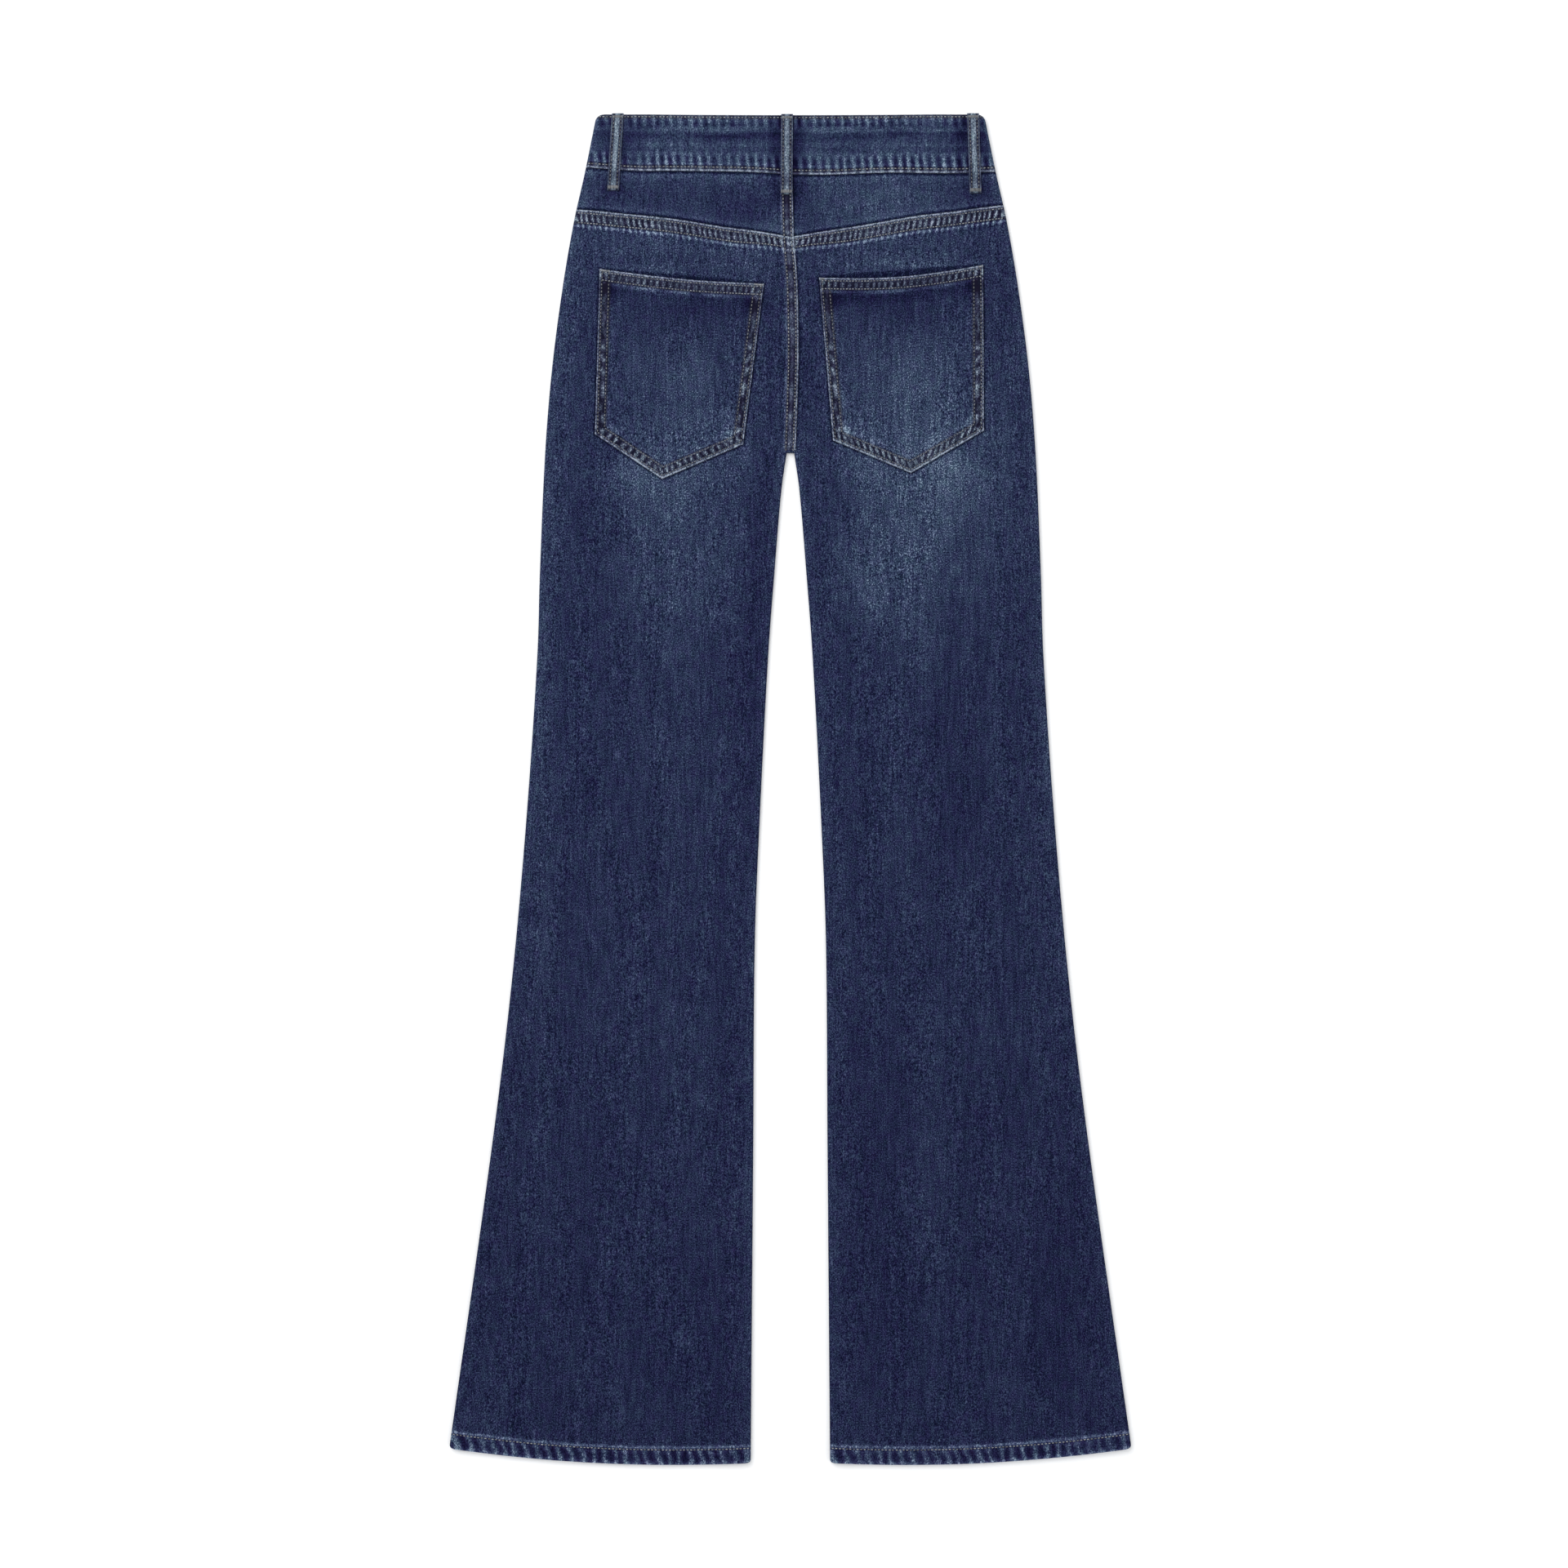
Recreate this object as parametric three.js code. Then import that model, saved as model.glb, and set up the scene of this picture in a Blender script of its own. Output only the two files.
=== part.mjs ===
// Wide leg jeans laid flat, back side up.
//
// Frame: +X across the garment (the wearer's right), +Y from the hems to the waist, +Z up from the
// surface that it lies on. The origin is the middle of its footprint, on that surface.
// "drop" is a distance down the garment from the waist edge at the centre back, "across" one from
// the centre line. The two layers of cloth lie on each other and meet in folds at the sides and
// along the inside legs. Every piece is a wall of cloth, so each has an outer face, an inner face
// and a rim, worked out at the nodes of a sheet.

import * as THREE from 'three';

// ---- driving dimensions, in millimetres --------------------------------------------------------

const LENGTH = 1126;             // top of the belt loops to the lowest point of the hems
const TOP = 1;                   // height of the belt loops above the waist edge
const CLOTH = 1.2;               // one layer of denim
const SEW_GAP = 0.3;             // clearance between pieces that are sewn together
const FOLD_HEIGHT = 4.8;         // both layers with the roll of cloth at a side fold
const SAG = 1.1;                 // how far the back layer sinks between its folds
const SAG_REACH = 42;            // distance from a fold over which it sinks

const WAISTBAND = {
  wall: 2.4,                     // two layers of denim and the seam allowances between them
  foldHeight: 6.2,               // both layers at the side folds
  frontDip: 16,                  // how much lower the front sits than the back, at its centre
  corner: 5.5,                   // rounding of the top corners
  edgeRound: 0.8,                // rounding of the folded top edge
  endStep: 0.6,                  // how far the lapped front end stands proud of the other one
};

const SEAM = { width: 8.2, rise: 0.9, ramp: 0.8 };   // felled seam: its band, its rise and its edge
const HEM = { depth: 15.4, rise: 0.7, ramp: 0.9, outerCorner: 3.2, innerCorner: 2.6 };
const CROTCH_DROP = 282;

const POCKET = { margin: 8.5, rise: 0.8, puff: 0.5, mouth: 0.7 };
const LOOP = { width: 9.8, wall: 1.7, foldedEnd: 0.6, slack: 0.5, stand: 1.15, below: 17, endLength: 4 };
const BUTTON = { radius: 8.5, thickness: 2.5, across: -6, belowEdge: 23 };
const FLY = { edge: 9, length: 150 };

// Side folds, and the inside-leg folds below the crotch.
const SIDE_FOLD = [
  { drop: 0, across: 161.5 },
  { drop: 47, across: 171 },
  { drop: 88, across: 180.2 },
  { drop: 143, across: 189.7 },
  { drop: 211, across: 198.6 },
  { drop: 280, across: 204.3 },
  { drop: 382, across: 208.8 },
  { drop: 450, across: 210.9 },
  { drop: 586, across: 220 },
  { drop: 722, across: 232.2 },
  { drop: 858, across: 248.6 },
  { drop: 1106, across: 283.6 },
];
const INSIDE_FOLD = [
  { drop: 282, across: 3.1 },
  { drop: 313, across: 7.5 },
  { drop: 382, across: 13.3 },
  { drop: 450, across: 18.4 },
  { drop: 586, across: 25.5 },
  { drop: 690, across: 29.6 },
  { drop: 858, across: 30.9 },
  { drop: 1119, across: 33 },
];

// Upper edge of the back panels, which laps the yokes, and right-hand edge of the seat seam.
const YOKE_SEAM = [
  { across: 0, drop: 102 },
  { across: 47, drop: 94 },
  { across: 97, drop: 85.3 },
  { across: 177, drop: 77.7 },
  { across: 200, drop: 76.5 },
];
const YOKE_TILT = -0.012;        // the yoke seam sits a little higher on the right
const SEAT_SEAM = [
  { drop: 44, across: 1.6 },
  { drop: 102, across: 3 },
  { drop: 140, across: 5.8 },
  { drop: 200, across: 6.8 },
  { drop: 245, across: 5 },
  { drop: 282, across: 2 },
];

// Soft folds of the back layer: ridges stand up, troughs sink. Width is the half width.
const FOLDS = [
  { x: -16, drop: 300, toX: -120, toDrop: 372, width: 13, height: 0.7 },
  { x: -12, drop: 322, toX: -96, toDrop: 452, width: 15, height: -0.5 },
  { x: 18, drop: 298, toX: 132, toDrop: 360, width: 13, height: 0.6 },
  { x: 14, drop: 330, toX: 104, toDrop: 476, width: 17, height: 0.7 },
  { x: -150, drop: 330, toX: -122, toDrop: 700, width: 26, height: 0.8 },
  { x: -84, drop: 420, toX: -112, toDrop: 900, width: 24, height: -0.5 },
  { x: -60, drop: 620, toX: -84, toDrop: 1120, width: 22, height: 0.7 },
  { x: -176, drop: 760, toX: -206, toDrop: 1150, width: 28, height: 0.8 },
  { x: 158, drop: 350, toX: 142, toDrop: 660, width: 24, height: -0.4 },
  { x: 92, drop: 500, toX: 118, toDrop: 1010, width: 27, height: 0.8 },
  { x: 150, drop: 700, toX: 186, toDrop: 1150, width: 25, height: -0.5 },
  { x: 190, drop: 820, toX: 232, toDrop: 1150, width: 22, height: 0.7 },
  { x: 58, drop: 780, toX: 72, toDrop: 1150, width: 20, height: 0.6 },
  { x: -172, drop: 118, toX: -60, toDrop: 112, width: 12, height: 0.5 },
  { x: 60, drop: 110, toX: 176, toDrop: 116, width: 12, height: 0.4 },
];

// Patch pockets, corner by corner. "sag" is how far the mouth dips between its ends.
const POCKETS = [
  {
    name: 'pocket_left', sag: 2.6,
    outerTop: { x: -158.8, drop: 130.3 }, innerTop: { x: -21.8, drop: 142.7 },
    outerBase: { x: -162.7, drop: 265 }, tip: { x: -106.7, drop: 302.3 }, innerBase: { x: -39.4, drop: 273.7 },
  },
  {
    name: 'pocket_right', sag: 4.6,
    outerTop: { x: 160.8, drop: 127.2 }, innerTop: { x: 23.3, drop: 137.9 },
    outerBase: { x: 161.4, drop: 263.5 }, tip: { x: 100.3, drop: 298.2 }, innerBase: { x: 35, drop: 270.4 },
  },
];

// Belt loops. "over" is the height of a seam band that the lower end lies on.
const BACK_LOOPS = [
  { name: 'loop_back_left', topX: -143.6, endX: -147.6, over: 0 },
  { name: 'loop_back_centre', topX: -2.7, endX: -3.2, over: SEAM.rise },
  { name: 'loop_back_right', topX: 152, endX: 154.2, over: 0 },
];
const FRONT_LOOPS = [
  { name: 'loop_front_left', topX: -85, endX: -86.5, over: 0 },
  { name: 'loop_front_right', topX: 85, endX: 86.5, over: 0 },
];

// ---- curves --------------------------------------------------------------------------------------

const clamp01 = (t) => Math.min(1, Math.max(0, t));
const smooth = (t) => clamp01(t) ** 2 * (3 - 2 * clamp01(t));
const lerp = THREE.MathUtils.lerp;

/** 1 up to "flat", falling smoothly to 0 at "zero". */
const plateau = (value, flat, zero) => 1 - smooth((value - flat) / (zero - flat));

/** A smooth curve through a table: the column "value" as a function of the column "key". */
function curveThrough(table, key, value) {
  const slope = table.map((row, i) => {
    const before = table[Math.max(0, i - 1)];
    const after = table[Math.min(table.length - 1, i + 1)];
    return (after[value] - before[value]) / (after[key] - before[key]);
  });
  return (at) => {
    let i = 0;
    while (i < table.length - 2 && at > table[i + 1][key]) i += 1;
    const span = table[i + 1][key] - table[i][key];
    const t = (at - table[i][key]) / span;
    if (t < 0) return table[i][value] + slope[i] * span * t;
    if (t > 1) return table[i + 1][value] + slope[i + 1] * span * (t - 1);
    return (1 + 2 * t) * (1 - t) ** 2 * table[i][value] + t * (1 - t) ** 2 * span * slope[i]
      + t ** 2 * (3 - 2 * t) * table[i + 1][value] + t ** 2 * (t - 1) * span * slope[i + 1];
  };
}

const sideAcross = curveThrough(SIDE_FOLD, 'drop', 'across');
const insideAcross = curveThrough(INSIDE_FOLD, 'drop', 'across');
const seatAcross = curveThrough(SEAT_SEAM, 'drop', 'across');
const yokeCurve = curveThrough(YOKE_SEAM, 'across', 'drop');

const HALF_WAIST = SIDE_FOLD[0].across;
const backTop = (x) => 1.3 * (1 - (x / HALF_WAIST) ** 2);
const backBandEnd = (x) => 50.3 - 4.7 * (x / 171) ** 2 + 2 * (x / 171);
const yokeDrop = (x) => yokeCurve(Math.abs(x)) + YOKE_TILT * x;
const hemDrop = (x) => 1125 - 13.7 * ((Math.abs(x) - 98) / 185.6) ** 2;
const frontDip = (x) => WAISTBAND.frontDip * Math.max(0, 1 - (x / HALF_WAIST) ** 2);
const frontBandEnd = (x) => backBandEnd(x) + frontDip(x);
const flyAcross = (drop) => lerp(FLY.edge, 2, smooth((drop - 64 - FLY.length) / (CROTCH_DROP - 64 - FLY.length)));

const toY = (drop) => LENGTH / 2 - TOP - drop;

/** Rounds a corner of the outline: how far the edge draws in at a distance from the end. */
const cornerInset = (fromEnd, radius) => (
  fromEnd < radius ? radius - Math.sqrt(radius ** 2 - (radius - Math.max(0, fromEnd)) ** 2) : 0);

// ---- heights of the two layers -------------------------------------------------------------------

const LOOP_LIFT = LOOP.wall + LOOP.foldedEnd + SEW_GAP;
const BUTTON_LIFT = BUTTON.thickness + SEW_GAP - LOOP_LIFT;

/** How far the front loops and the waist button prop the cloth up from the surface below. */
const propped = (x, drop) => (
  LOOP_LIFT * plateau(Math.abs(x), 112, 152) * plateau(drop, 98, 158)
  + BUTTON_LIFT * plateau(Math.abs(x - BUTTON.across), 20, 60) * plateau(drop, 64, 110));

function foldsAt(x, drop) {
  return FOLDS.reduce((height, fold) => {
    const along = { x: fold.toX - fold.x, drop: fold.toDrop - fold.drop };
    const length = Math.hypot(along.x, along.drop);
    const t = ((x - fold.x) * along.x + (drop - fold.drop) * along.drop) / length ** 2;
    const aside = ((x - fold.x) * along.drop - (drop - fold.drop) * along.x) / length;
    return height + fold.height * Math.sin(Math.PI * clamp01(t)) * Math.exp(-((aside / fold.width) ** 2));
  }, 0);
}

/** Distance from the nearest fold of the outline, for a point of either layer. */
function fromOutline(x, drop) {
  const across = Math.abs(x);
  const side = sideAcross(drop) - across;
  const inside = drop > CROTCH_DROP
    ? across - insideAcross(drop)
    : Math.hypot(Math.max(0, across - 6), CROTCH_DROP - drop);
  return Math.max(0, Math.min(side, inside) - FOLD_HEIGHT / 2);
}

/** How near a point is to the thicker waistband: "past" is the drop beyond its lower edge. */
const nearBand = (past, reach) => plateau(past, 0.5, reach);

/** Outer face of the back layer, before seam bands and hems. */
function backHeight(x, drop) {
  const inner = smooth(fromOutline(x, drop) / SAG_REACH);
  const pastBand = drop - backBandEnd(x) - frontDip(x);
  return propped(x, drop) + FOLD_HEIGHT + 0.5 * nearBand(pastBand, 18)
    + (foldsAt(x, drop) - SAG * smooth(pastBand / 60)) * inner;
}

/** Outer face of the front layer, which lies on the surface. */
const frontHeight = (x, drop) => propped(x, drop) + 0.8 * nearBand(drop - frontBandEnd(x), 14);

// ---- sheets of cloth -----------------------------------------------------------------------------

/** A sheet of cloth: nodes with an outer and an inner point, joined by faces into a closed wall. */
class Sheet {
  constructor() {
    this.outer = [];
    this.inner = [];
    this.faces = [];
  }

  node(outer, inner) {
    this.outer.push(outer);
    this.inner.push(inner);
    return this.outer.length - 1;
  }

  /** Fills the space between two rows of nodes, which are as long as each other. */
  strip(rowA, rowB) {
    for (let i = 0; i + 1 < rowA.length; i += 1) {
      this.faces.push([rowA[i], rowA[i + 1], rowB[i + 1]], [rowA[i], rowB[i + 1], rowB[i]]);
    }
  }

  rows(rows) {
    for (let j = 0; j + 1 < rows.length; j += 1) this.strip(rows[j], rows[j + 1]);
    return this;
  }

  /** The wall as one closed geometry: outer faces, inner faces and a rim along every free edge. */
  geometry() {
    const count = this.outer.length;
    const index = [];
    const free = new Map();
    for (const [a, b, c] of this.faces) {
      index.push(a, b, c, count + a, count + c, count + b);
      for (const [from, to] of [[a, b], [b, c], [c, a]]) {
        if (!free.delete(`${to},${from}`)) free.set(`${from},${to}`, [from, to]);
      }
    }
    for (const [from, to] of free.values()) {
      index.push(from, count + from, count + to, from, count + to, to);
    }
    const points = [...this.outer, ...this.inner];
    if (volumeOf(points, index) < 0) index.reverse();
    const geometry = new THREE.BufferGeometry();
    geometry.setAttribute('position', new THREE.Float32BufferAttribute(points.flatMap((p) => [p.x, p.y, p.z]), 3));
    geometry.setIndex(index);
    geometry.computeVertexNormals();
    return geometry;
  }
}

function volumeOf(points, index) {
  const cross = new THREE.Vector3();
  let volume = 0;
  for (let i = 0; i < index.length; i += 3) {
    cross.crossVectors(points[index[i + 1]], points[index[i + 2]]);
    volume += points[index[i]].dot(cross) / 6;
  }
  return volume;
}

const point = (x, drop, z) => new THREE.Vector3(x, toY(drop), z);

/**
 * A point on the roll of a fold, and the one inside it. "edge" is where the roll is widest, "out"
 * the way it faces in the plane, and the angle runs from 90 on top to -90 underneath. A roll at the
 * side of a row keeps to the row's own curve, "dropAt".
 */
function rollNode(sheet, edge, out, low, high, wall, degrees, dropAt) {
  const radius = (high - low) / 2;
  const angle = THREE.MathUtils.degToRad(degrees);
  const at = (r) => {
    const back = radius - r * Math.cos(angle);
    const x = edge.x - out.x * back;
    return point(x, dropAt ? dropAt(x) : edge.drop + out.y * back, (low + high) / 2 + r * Math.sin(angle));
  };
  return sheet.node(at(radius), at(radius - wall));
}

const BACK_ROLL = [56, 22, -12, -44];      // the back layer wraps the folds down to the side seams
const FRONT_ROLL = [-80, -64];             // and the front layer comes up to meet it
const ROLL_REACH = (FOLD_HEIGHT + HEM.rise) / 2 + 0.35;   // where the flat cloth ends beside a roll

// ---- leg panels and yokes ------------------------------------------------------------------------

/** How thick the felled seam or the hem makes the wall, at distances from the panel's edges. */
function seamRise(fromTop, fromSeat, fromHem, drop) {
  const band = (distance) => SEAM.rise * plateau(distance, SEAM.width - SEAM.ramp, SEAM.width);
  const seat = band(fromSeat) * plateau(drop, CROTCH_DROP - 26, CROTCH_DROP - 8);
  const hem = HEM.rise * plateau(fromHem, HEM.depth - HEM.ramp, HEM.depth);
  return Math.max(band(fromTop), seat, hem);
}

/**
 * One panel between the centre seam and the side fold. Its rows run across the leg. Above the
 * crotch they start at the centre seam, and below it they start with the roll of the inside leg.
 * @param {object} spec side (-1 left, 1 right), isBack, laps (its seam edge lies on top),
 *   seamAcross(drop), top(x), bottom(x), isLeg, upperRows, lowerRows, columns
 */
function panel(spec) {
  const { side, isBack } = spec;
  const sheet = new Sheet();
  const roll = isBack ? BACK_ROLL : FRONT_ROLL;
  const nearSeam = spec.laps ? [0, SEAM.ramp, SEAM.width - SEAM.ramp, SEAM.width] : [0, 3.2];
  const reach = nearSeam[nearSeam.length - 1];
  const radius = FOLD_HEIGHT / 2;
  const rollRow = CROTCH_DROP - radius;
  const top = (x) => spec.top(x);
  const end = (x) => (spec.isLeg ? hemDrop(x) : spec.bottom(x));
  const hemGap = (x, drop) => (spec.isLeg ? hemDrop(x) - drop : Infinity);
  const sideEdge = (x, drop) => side * (sideAcross(drop) - cornerInset(hemGap(x, drop), HEM.outerCorner));
  const insideEdge = (x, drop) => side * (insideAcross(drop) + cornerInset(hemGap(x, drop), HEM.innerCorner));

  // Towards the crotch the seam band narrows, so that it ends above the gap between the legs.
  const seamStop = (distance, drop) => lerp(distance, Math.min(distance, 4.4), smooth((drop - CROTCH_DROP + 34) / 28));

  const facing = (x, drop, fromSeat) => {
    const laid = isBack ? backHeight(x, drop) : frontHeight(x, drop);
    const fromTop = spec.topLaps ? drop - top(x) : Infinity;
    const rise = seamRise(fromTop, spec.laps ? fromSeat : Infinity, hemGap(x, drop), drop);
    if (isBack) return { outer: laid + rise, inner: laid - CLOTH };
    const step = spec.laps ? 0 : SEAM.rise * plateau(fromSeat, 2, 16) * plateau(drop, CROTCH_DROP - 40, CROTCH_DROP - 12);
    return { outer: laid + step, inner: laid + step + CLOTH + (spec.laps ? Math.min(rise, SEAM.rise) : rise * (1 - step)) };
  };
  const flatNode = (x, drop, fromSeat) => {
    const z = facing(x, drop, fromSeat);
    return sheet.node(point(x, drop, z.outer), point(x, drop, z.inner));
  };
  const rollNodes = (edge, out, dropAt) => {
    const inward = { x: edge.x - out.x * radius, drop: edge.drop + out.y * radius };
    const z = facing(inward.x, inward.drop, Infinity);
    const wall = Math.abs(z.outer - z.inner);
    const other = isBack ? frontHeight(inward.x, inward.drop) : backRollTop(inward.x, inward.drop, hemGap(inward.x, inward.drop));
    const [low, high] = isBack ? [other, z.outer] : [z.outer, other];
    return roll.map((degrees) => rollNode(sheet, edge, out, low, high, wall, degrees, dropAt));
  };

  /** Nodes of one row. "dropAt" gives the row's drop at a place across the leg. */
  const row = (dropAt, belowCrotch) => {
    const settle = (acrossAt) => {
      let drop = dropAt(side * 100);
      let x = acrossAt(side * 100, drop);
      for (let pass = 0; pass < 4; pass += 1) {
        drop = dropAt(x);
        x = acrossAt(x, drop);
      }
      return { x, drop };
    };
    const start = (x, drop) => (belowCrotch
      ? insideEdge(x, drop) + side * ROLL_REACH
      : spec.seamAcross(drop) + side * reach);
    const finish = (x, drop) => sideEdge(x, drop) - side * ROLL_REACH;
    const seam = belowCrotch ? [] : nearSeam.slice(0, -1).map((distance) => {
      const at = settle((x, drop) => spec.seamAcross(drop) + side * seamStop(distance, drop));
      return flatNode(at.x, at.drop, distance);
    });
    const flat = Array.from({ length: spec.columns + 1 }, (_, i) => {
      const at = settle((x, drop) => lerp(start(x, drop), finish(x, drop), i / spec.columns));
      return flatNode(at.x, at.drop, Math.abs(at.x - spec.seamAcross(at.drop)));
    });
    const sideEnd = settle((x, drop) => sideEdge(x, drop));
    const outerRoll = rollNodes(sideEnd, { x: side, y: 0 }, dropAt);
    const insideEnd = belowCrotch ? settle((x, drop) => insideEdge(x, drop)) : null;
    const innerRoll = insideEnd ? rollNodes(insideEnd, { x: -side, y: 0 }, dropAt) : [];
    return { inner: innerRoll, seam, flat, outer: outerRoll };
  };

  const rowDrops = spec.isLeg ? legRows(spec, rollRow, end) : yokeRows(spec);
  const rows = rowDrops.map(({ at, below }) => row(at, below));
  const joined = rows.map((r) => [...r.seam, ...r.flat, ...r.outer]);
  rows.forEach((r, j) => {
    if (j === 0) return;
    const before = rows[j - 1];
    const turned = before.seam.length > 0 && r.seam.length === 0;
    if (!turned) sheet.strip(joined[j - 1], joined[j]);
    else sheet.strip([...before.flat, ...before.outer], [...r.flat, ...r.outer]);
    if (r.inner.length === 0) return;
    // The crotch: the row above hangs its own roll, facing the hems, and mitres it into the leg's.
    let above = before.inner;
    if (turned) {
      const hung = [...before.seam, before.flat[0]].map((node, i, all) => {
        const from = sheet.outer[node];
        const mitre = i === all.length - 1 ? -side : 0;
        return [node, ...rollNodes({ x: from.x + mitre * radius, drop: CROTCH_DROP }, { x: mitre, y: -1 })];
      });
      for (let i = 1; i < hung.length; i += 1) sheet.strip(hung[i], hung[i - 1]);
      above = hung[hung.length - 1].slice(1);
    }
    sheet.strip([...above.slice().reverse(), before.flat[0]], [...r.inner.slice().reverse(), r.flat[0]]);
  });
  return sheet.geometry();
}

/** Top of the back layer's roll, which the front layer's roll is concentric with. */
function backRollTop(x, drop, hemGap) {
  const hem = HEM.rise * plateau(hemGap, HEM.depth - HEM.ramp, HEM.depth);
  return backHeight(x, drop) + hem;
}

function legRows(spec, rollRow, end) {
  const bandOffsets = spec.topLaps ? [0, SEAM.ramp, SEAM.width - SEAM.ramp, SEAM.width] : [0, 5, 14];
  const last = bandOffsets[bandOffsets.length - 1];
  const upper = bandOffsets.map((offset) => ({ at: (x) => spec.top(x) + offset, below: false }));
  for (let j = 1; j <= spec.upperRows; j += 1) {
    upper.push({ at: (x) => lerp(spec.top(x) + last, rollRow, j / spec.upperRows), below: false });
  }
  const firstLeg = CROTCH_DROP + 3;
  const hemStart = HEM.depth + 0.9;
  const lower = [];
  for (let j = 0; j <= spec.lowerRows; j += 1) {
    const t = (j / spec.lowerRows) ** 1.15;
    lower.push({ at: (x) => lerp(firstLeg, end(x) - hemStart, t), below: true });
  }
  const hemOffsets = [HEM.depth - HEM.ramp, 6, 2.6, 1, 0];
  const hem = hemOffsets.map((offset) => ({ at: (x) => end(x) - offset, below: true }));
  return [...upper, ...lower, ...hem];
}

function yokeRows(spec) {
  const rows = [];
  for (let j = 0; j <= spec.upperRows; j += 1) {
    rows.push({ at: (x) => lerp(spec.top(x), spec.bottom(x), j / spec.upperRows), below: false });
  }
  return rows;
}

// ---- waistband -----------------------------------------------------------------------------------

/**
 * The waistband, one strip from the front end on the left, round the left fold, across the back,
 * round the right fold and on to the front end on the right.
 */
function waistband() {
  const sheet = new Sheet();
  const radius = WAISTBAND.foldHeight / 2;
  const offsets = [0, 0.8, 2.6, 7, 24, 41, Infinity];
  const turn = [55, 20, -15, -50, -78];
  const columns = { back: 24, front: 12 };

  const rows = offsets.map((offset) => {
    const backDrop = (x) => Math.min(backTop(x) + offset, backBandEnd(x));
    const frontDrop = (x) => Math.min(backTop(x) + frontDip(x) + offset, frontBandEnd(x));
    const round = WAISTBAND.edgeRound * (1 - smooth(offset / 2.6));
    const wall = WAISTBAND.wall - 1.5 * round;
    const edgeX = (side) => side * (sideAcross(backDrop(side * HALF_WAIST)) - cornerInset(offset, WAISTBAND.corner));
    const across = (from, to, count, nodeAt) => (
      Array.from({ length: count + 1 }, (_, i) => nodeAt(lerp(from, to, i / count))));
    const backNode = (x) => {
      const z = propped(x, backDrop(x)) + WAISTBAND.foldHeight - round;
      return sheet.node(point(x, backDrop(x), z), point(x, backDrop(x), z - wall));
    };
    const frontNode = (x) => {
      const step = x > FLY.edge ? WAISTBAND.endStep * plateau(x - FLY.edge, 2, 18) : 0;
      const z = propped(x, frontDrop(x)) + step + round;
      return sheet.node(point(x, frontDrop(x), z), point(x, frontDrop(x), z + wall));
    };
    const rolled = (side) => turn.map((degrees) => rollNode(
      sheet, { x: edgeX(side), drop: 0 }, { x: side, y: 0 },
      round, WAISTBAND.foldHeight - round, wall, degrees, backDrop));
    const inset = (side) => edgeX(side) - side * (radius + 0.1);
    return [
      ...across(FLY.edge, inset(-1), columns.front, frontNode),
      ...rolled(-1).reverse(),
      ...across(inset(-1), inset(1), columns.back, backNode),
      ...rolled(1),
      ...across(inset(1), FLY.edge + SEW_GAP, columns.front, frontNode),
    ];
  });
  return sheet.rows(rows).geometry();
}

// ---- patch pockets, belt loops and button --------------------------------------------------------

/** Height of the top of a finished piece at a place in the plane. */
function heightOn(mesh, x, drop) {
  const ray = new THREE.Raycaster(point(x, drop, 100), new THREE.Vector3(0, 0, -1));
  return ray.intersectObject(mesh)[0].point.z;
}

/** A patch pocket, which follows the leg panel that it is sewn to. */
function patchPocket(pocket, leg) {
  const sheet = new Sheet();
  const width = Math.abs(pocket.outerTop.x - pocket.innerTop.x);
  const tipAt = (pocket.tip.x - pocket.outerBase.x) / (pocket.innerBase.x - pocket.outerBase.x);
  const edge = POCKET.margin / width;
  const hem = POCKET.margin / (pocket.tip.drop - pocket.outerTop.drop);
  const acrossStops = [0, edge, edge + 0.008, 0.19, 0.32, tipAt, 0.58, 0.7, 0.82, 1 - edge - 0.008, 1 - edge, 1];
  const downStops = [0, hem, hem + 0.007, 0.18, 0.32, 0.46, 0.6, 0.74, 0.86, 1 - hem - 0.007, 1 - hem, 1];
  const mix = (a, b, t) => ({ x: lerp(a.x, b.x, t), drop: lerp(a.drop, b.drop, t) });
  const baseAt = (u) => (u <= tipAt
    ? mix(pocket.outerBase, pocket.tip, u / tipAt)
    : mix(pocket.tip, pocket.innerBase, (u - tipAt) / (1 - tipAt)));

  const rows = downStops.map((v) => acrossStops.map((u) => {
    const mouth = mix(pocket.outerTop, pocket.innerTop, u);
    mouth.drop += pocket.sag * Math.sin(Math.PI * u);
    const at = mix(mouth, baseAt(u), v);
    const inside = Math.min(u, 1 - u) / edge;
    const margin = Math.max(plateau(Math.min(inside, v / hem, (1 - v) / hem), 1, 1.09), 0);
    const puff = POCKET.puff * Math.sin(Math.PI * u) * Math.sin(Math.PI * v)
      + POCKET.mouth * Math.sin(Math.PI * u) * plateau(v, 0, 0.3);
    const base = heightOn(leg, at.x, at.drop) + SEW_GAP + 0.08 + puff;
    return sheet.node(point(at.x, at.drop, base + CLOTH + POCKET.rise * margin), point(at.x, at.drop, base));
  }));
  return sheet.rows(rows).geometry();
}

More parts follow.
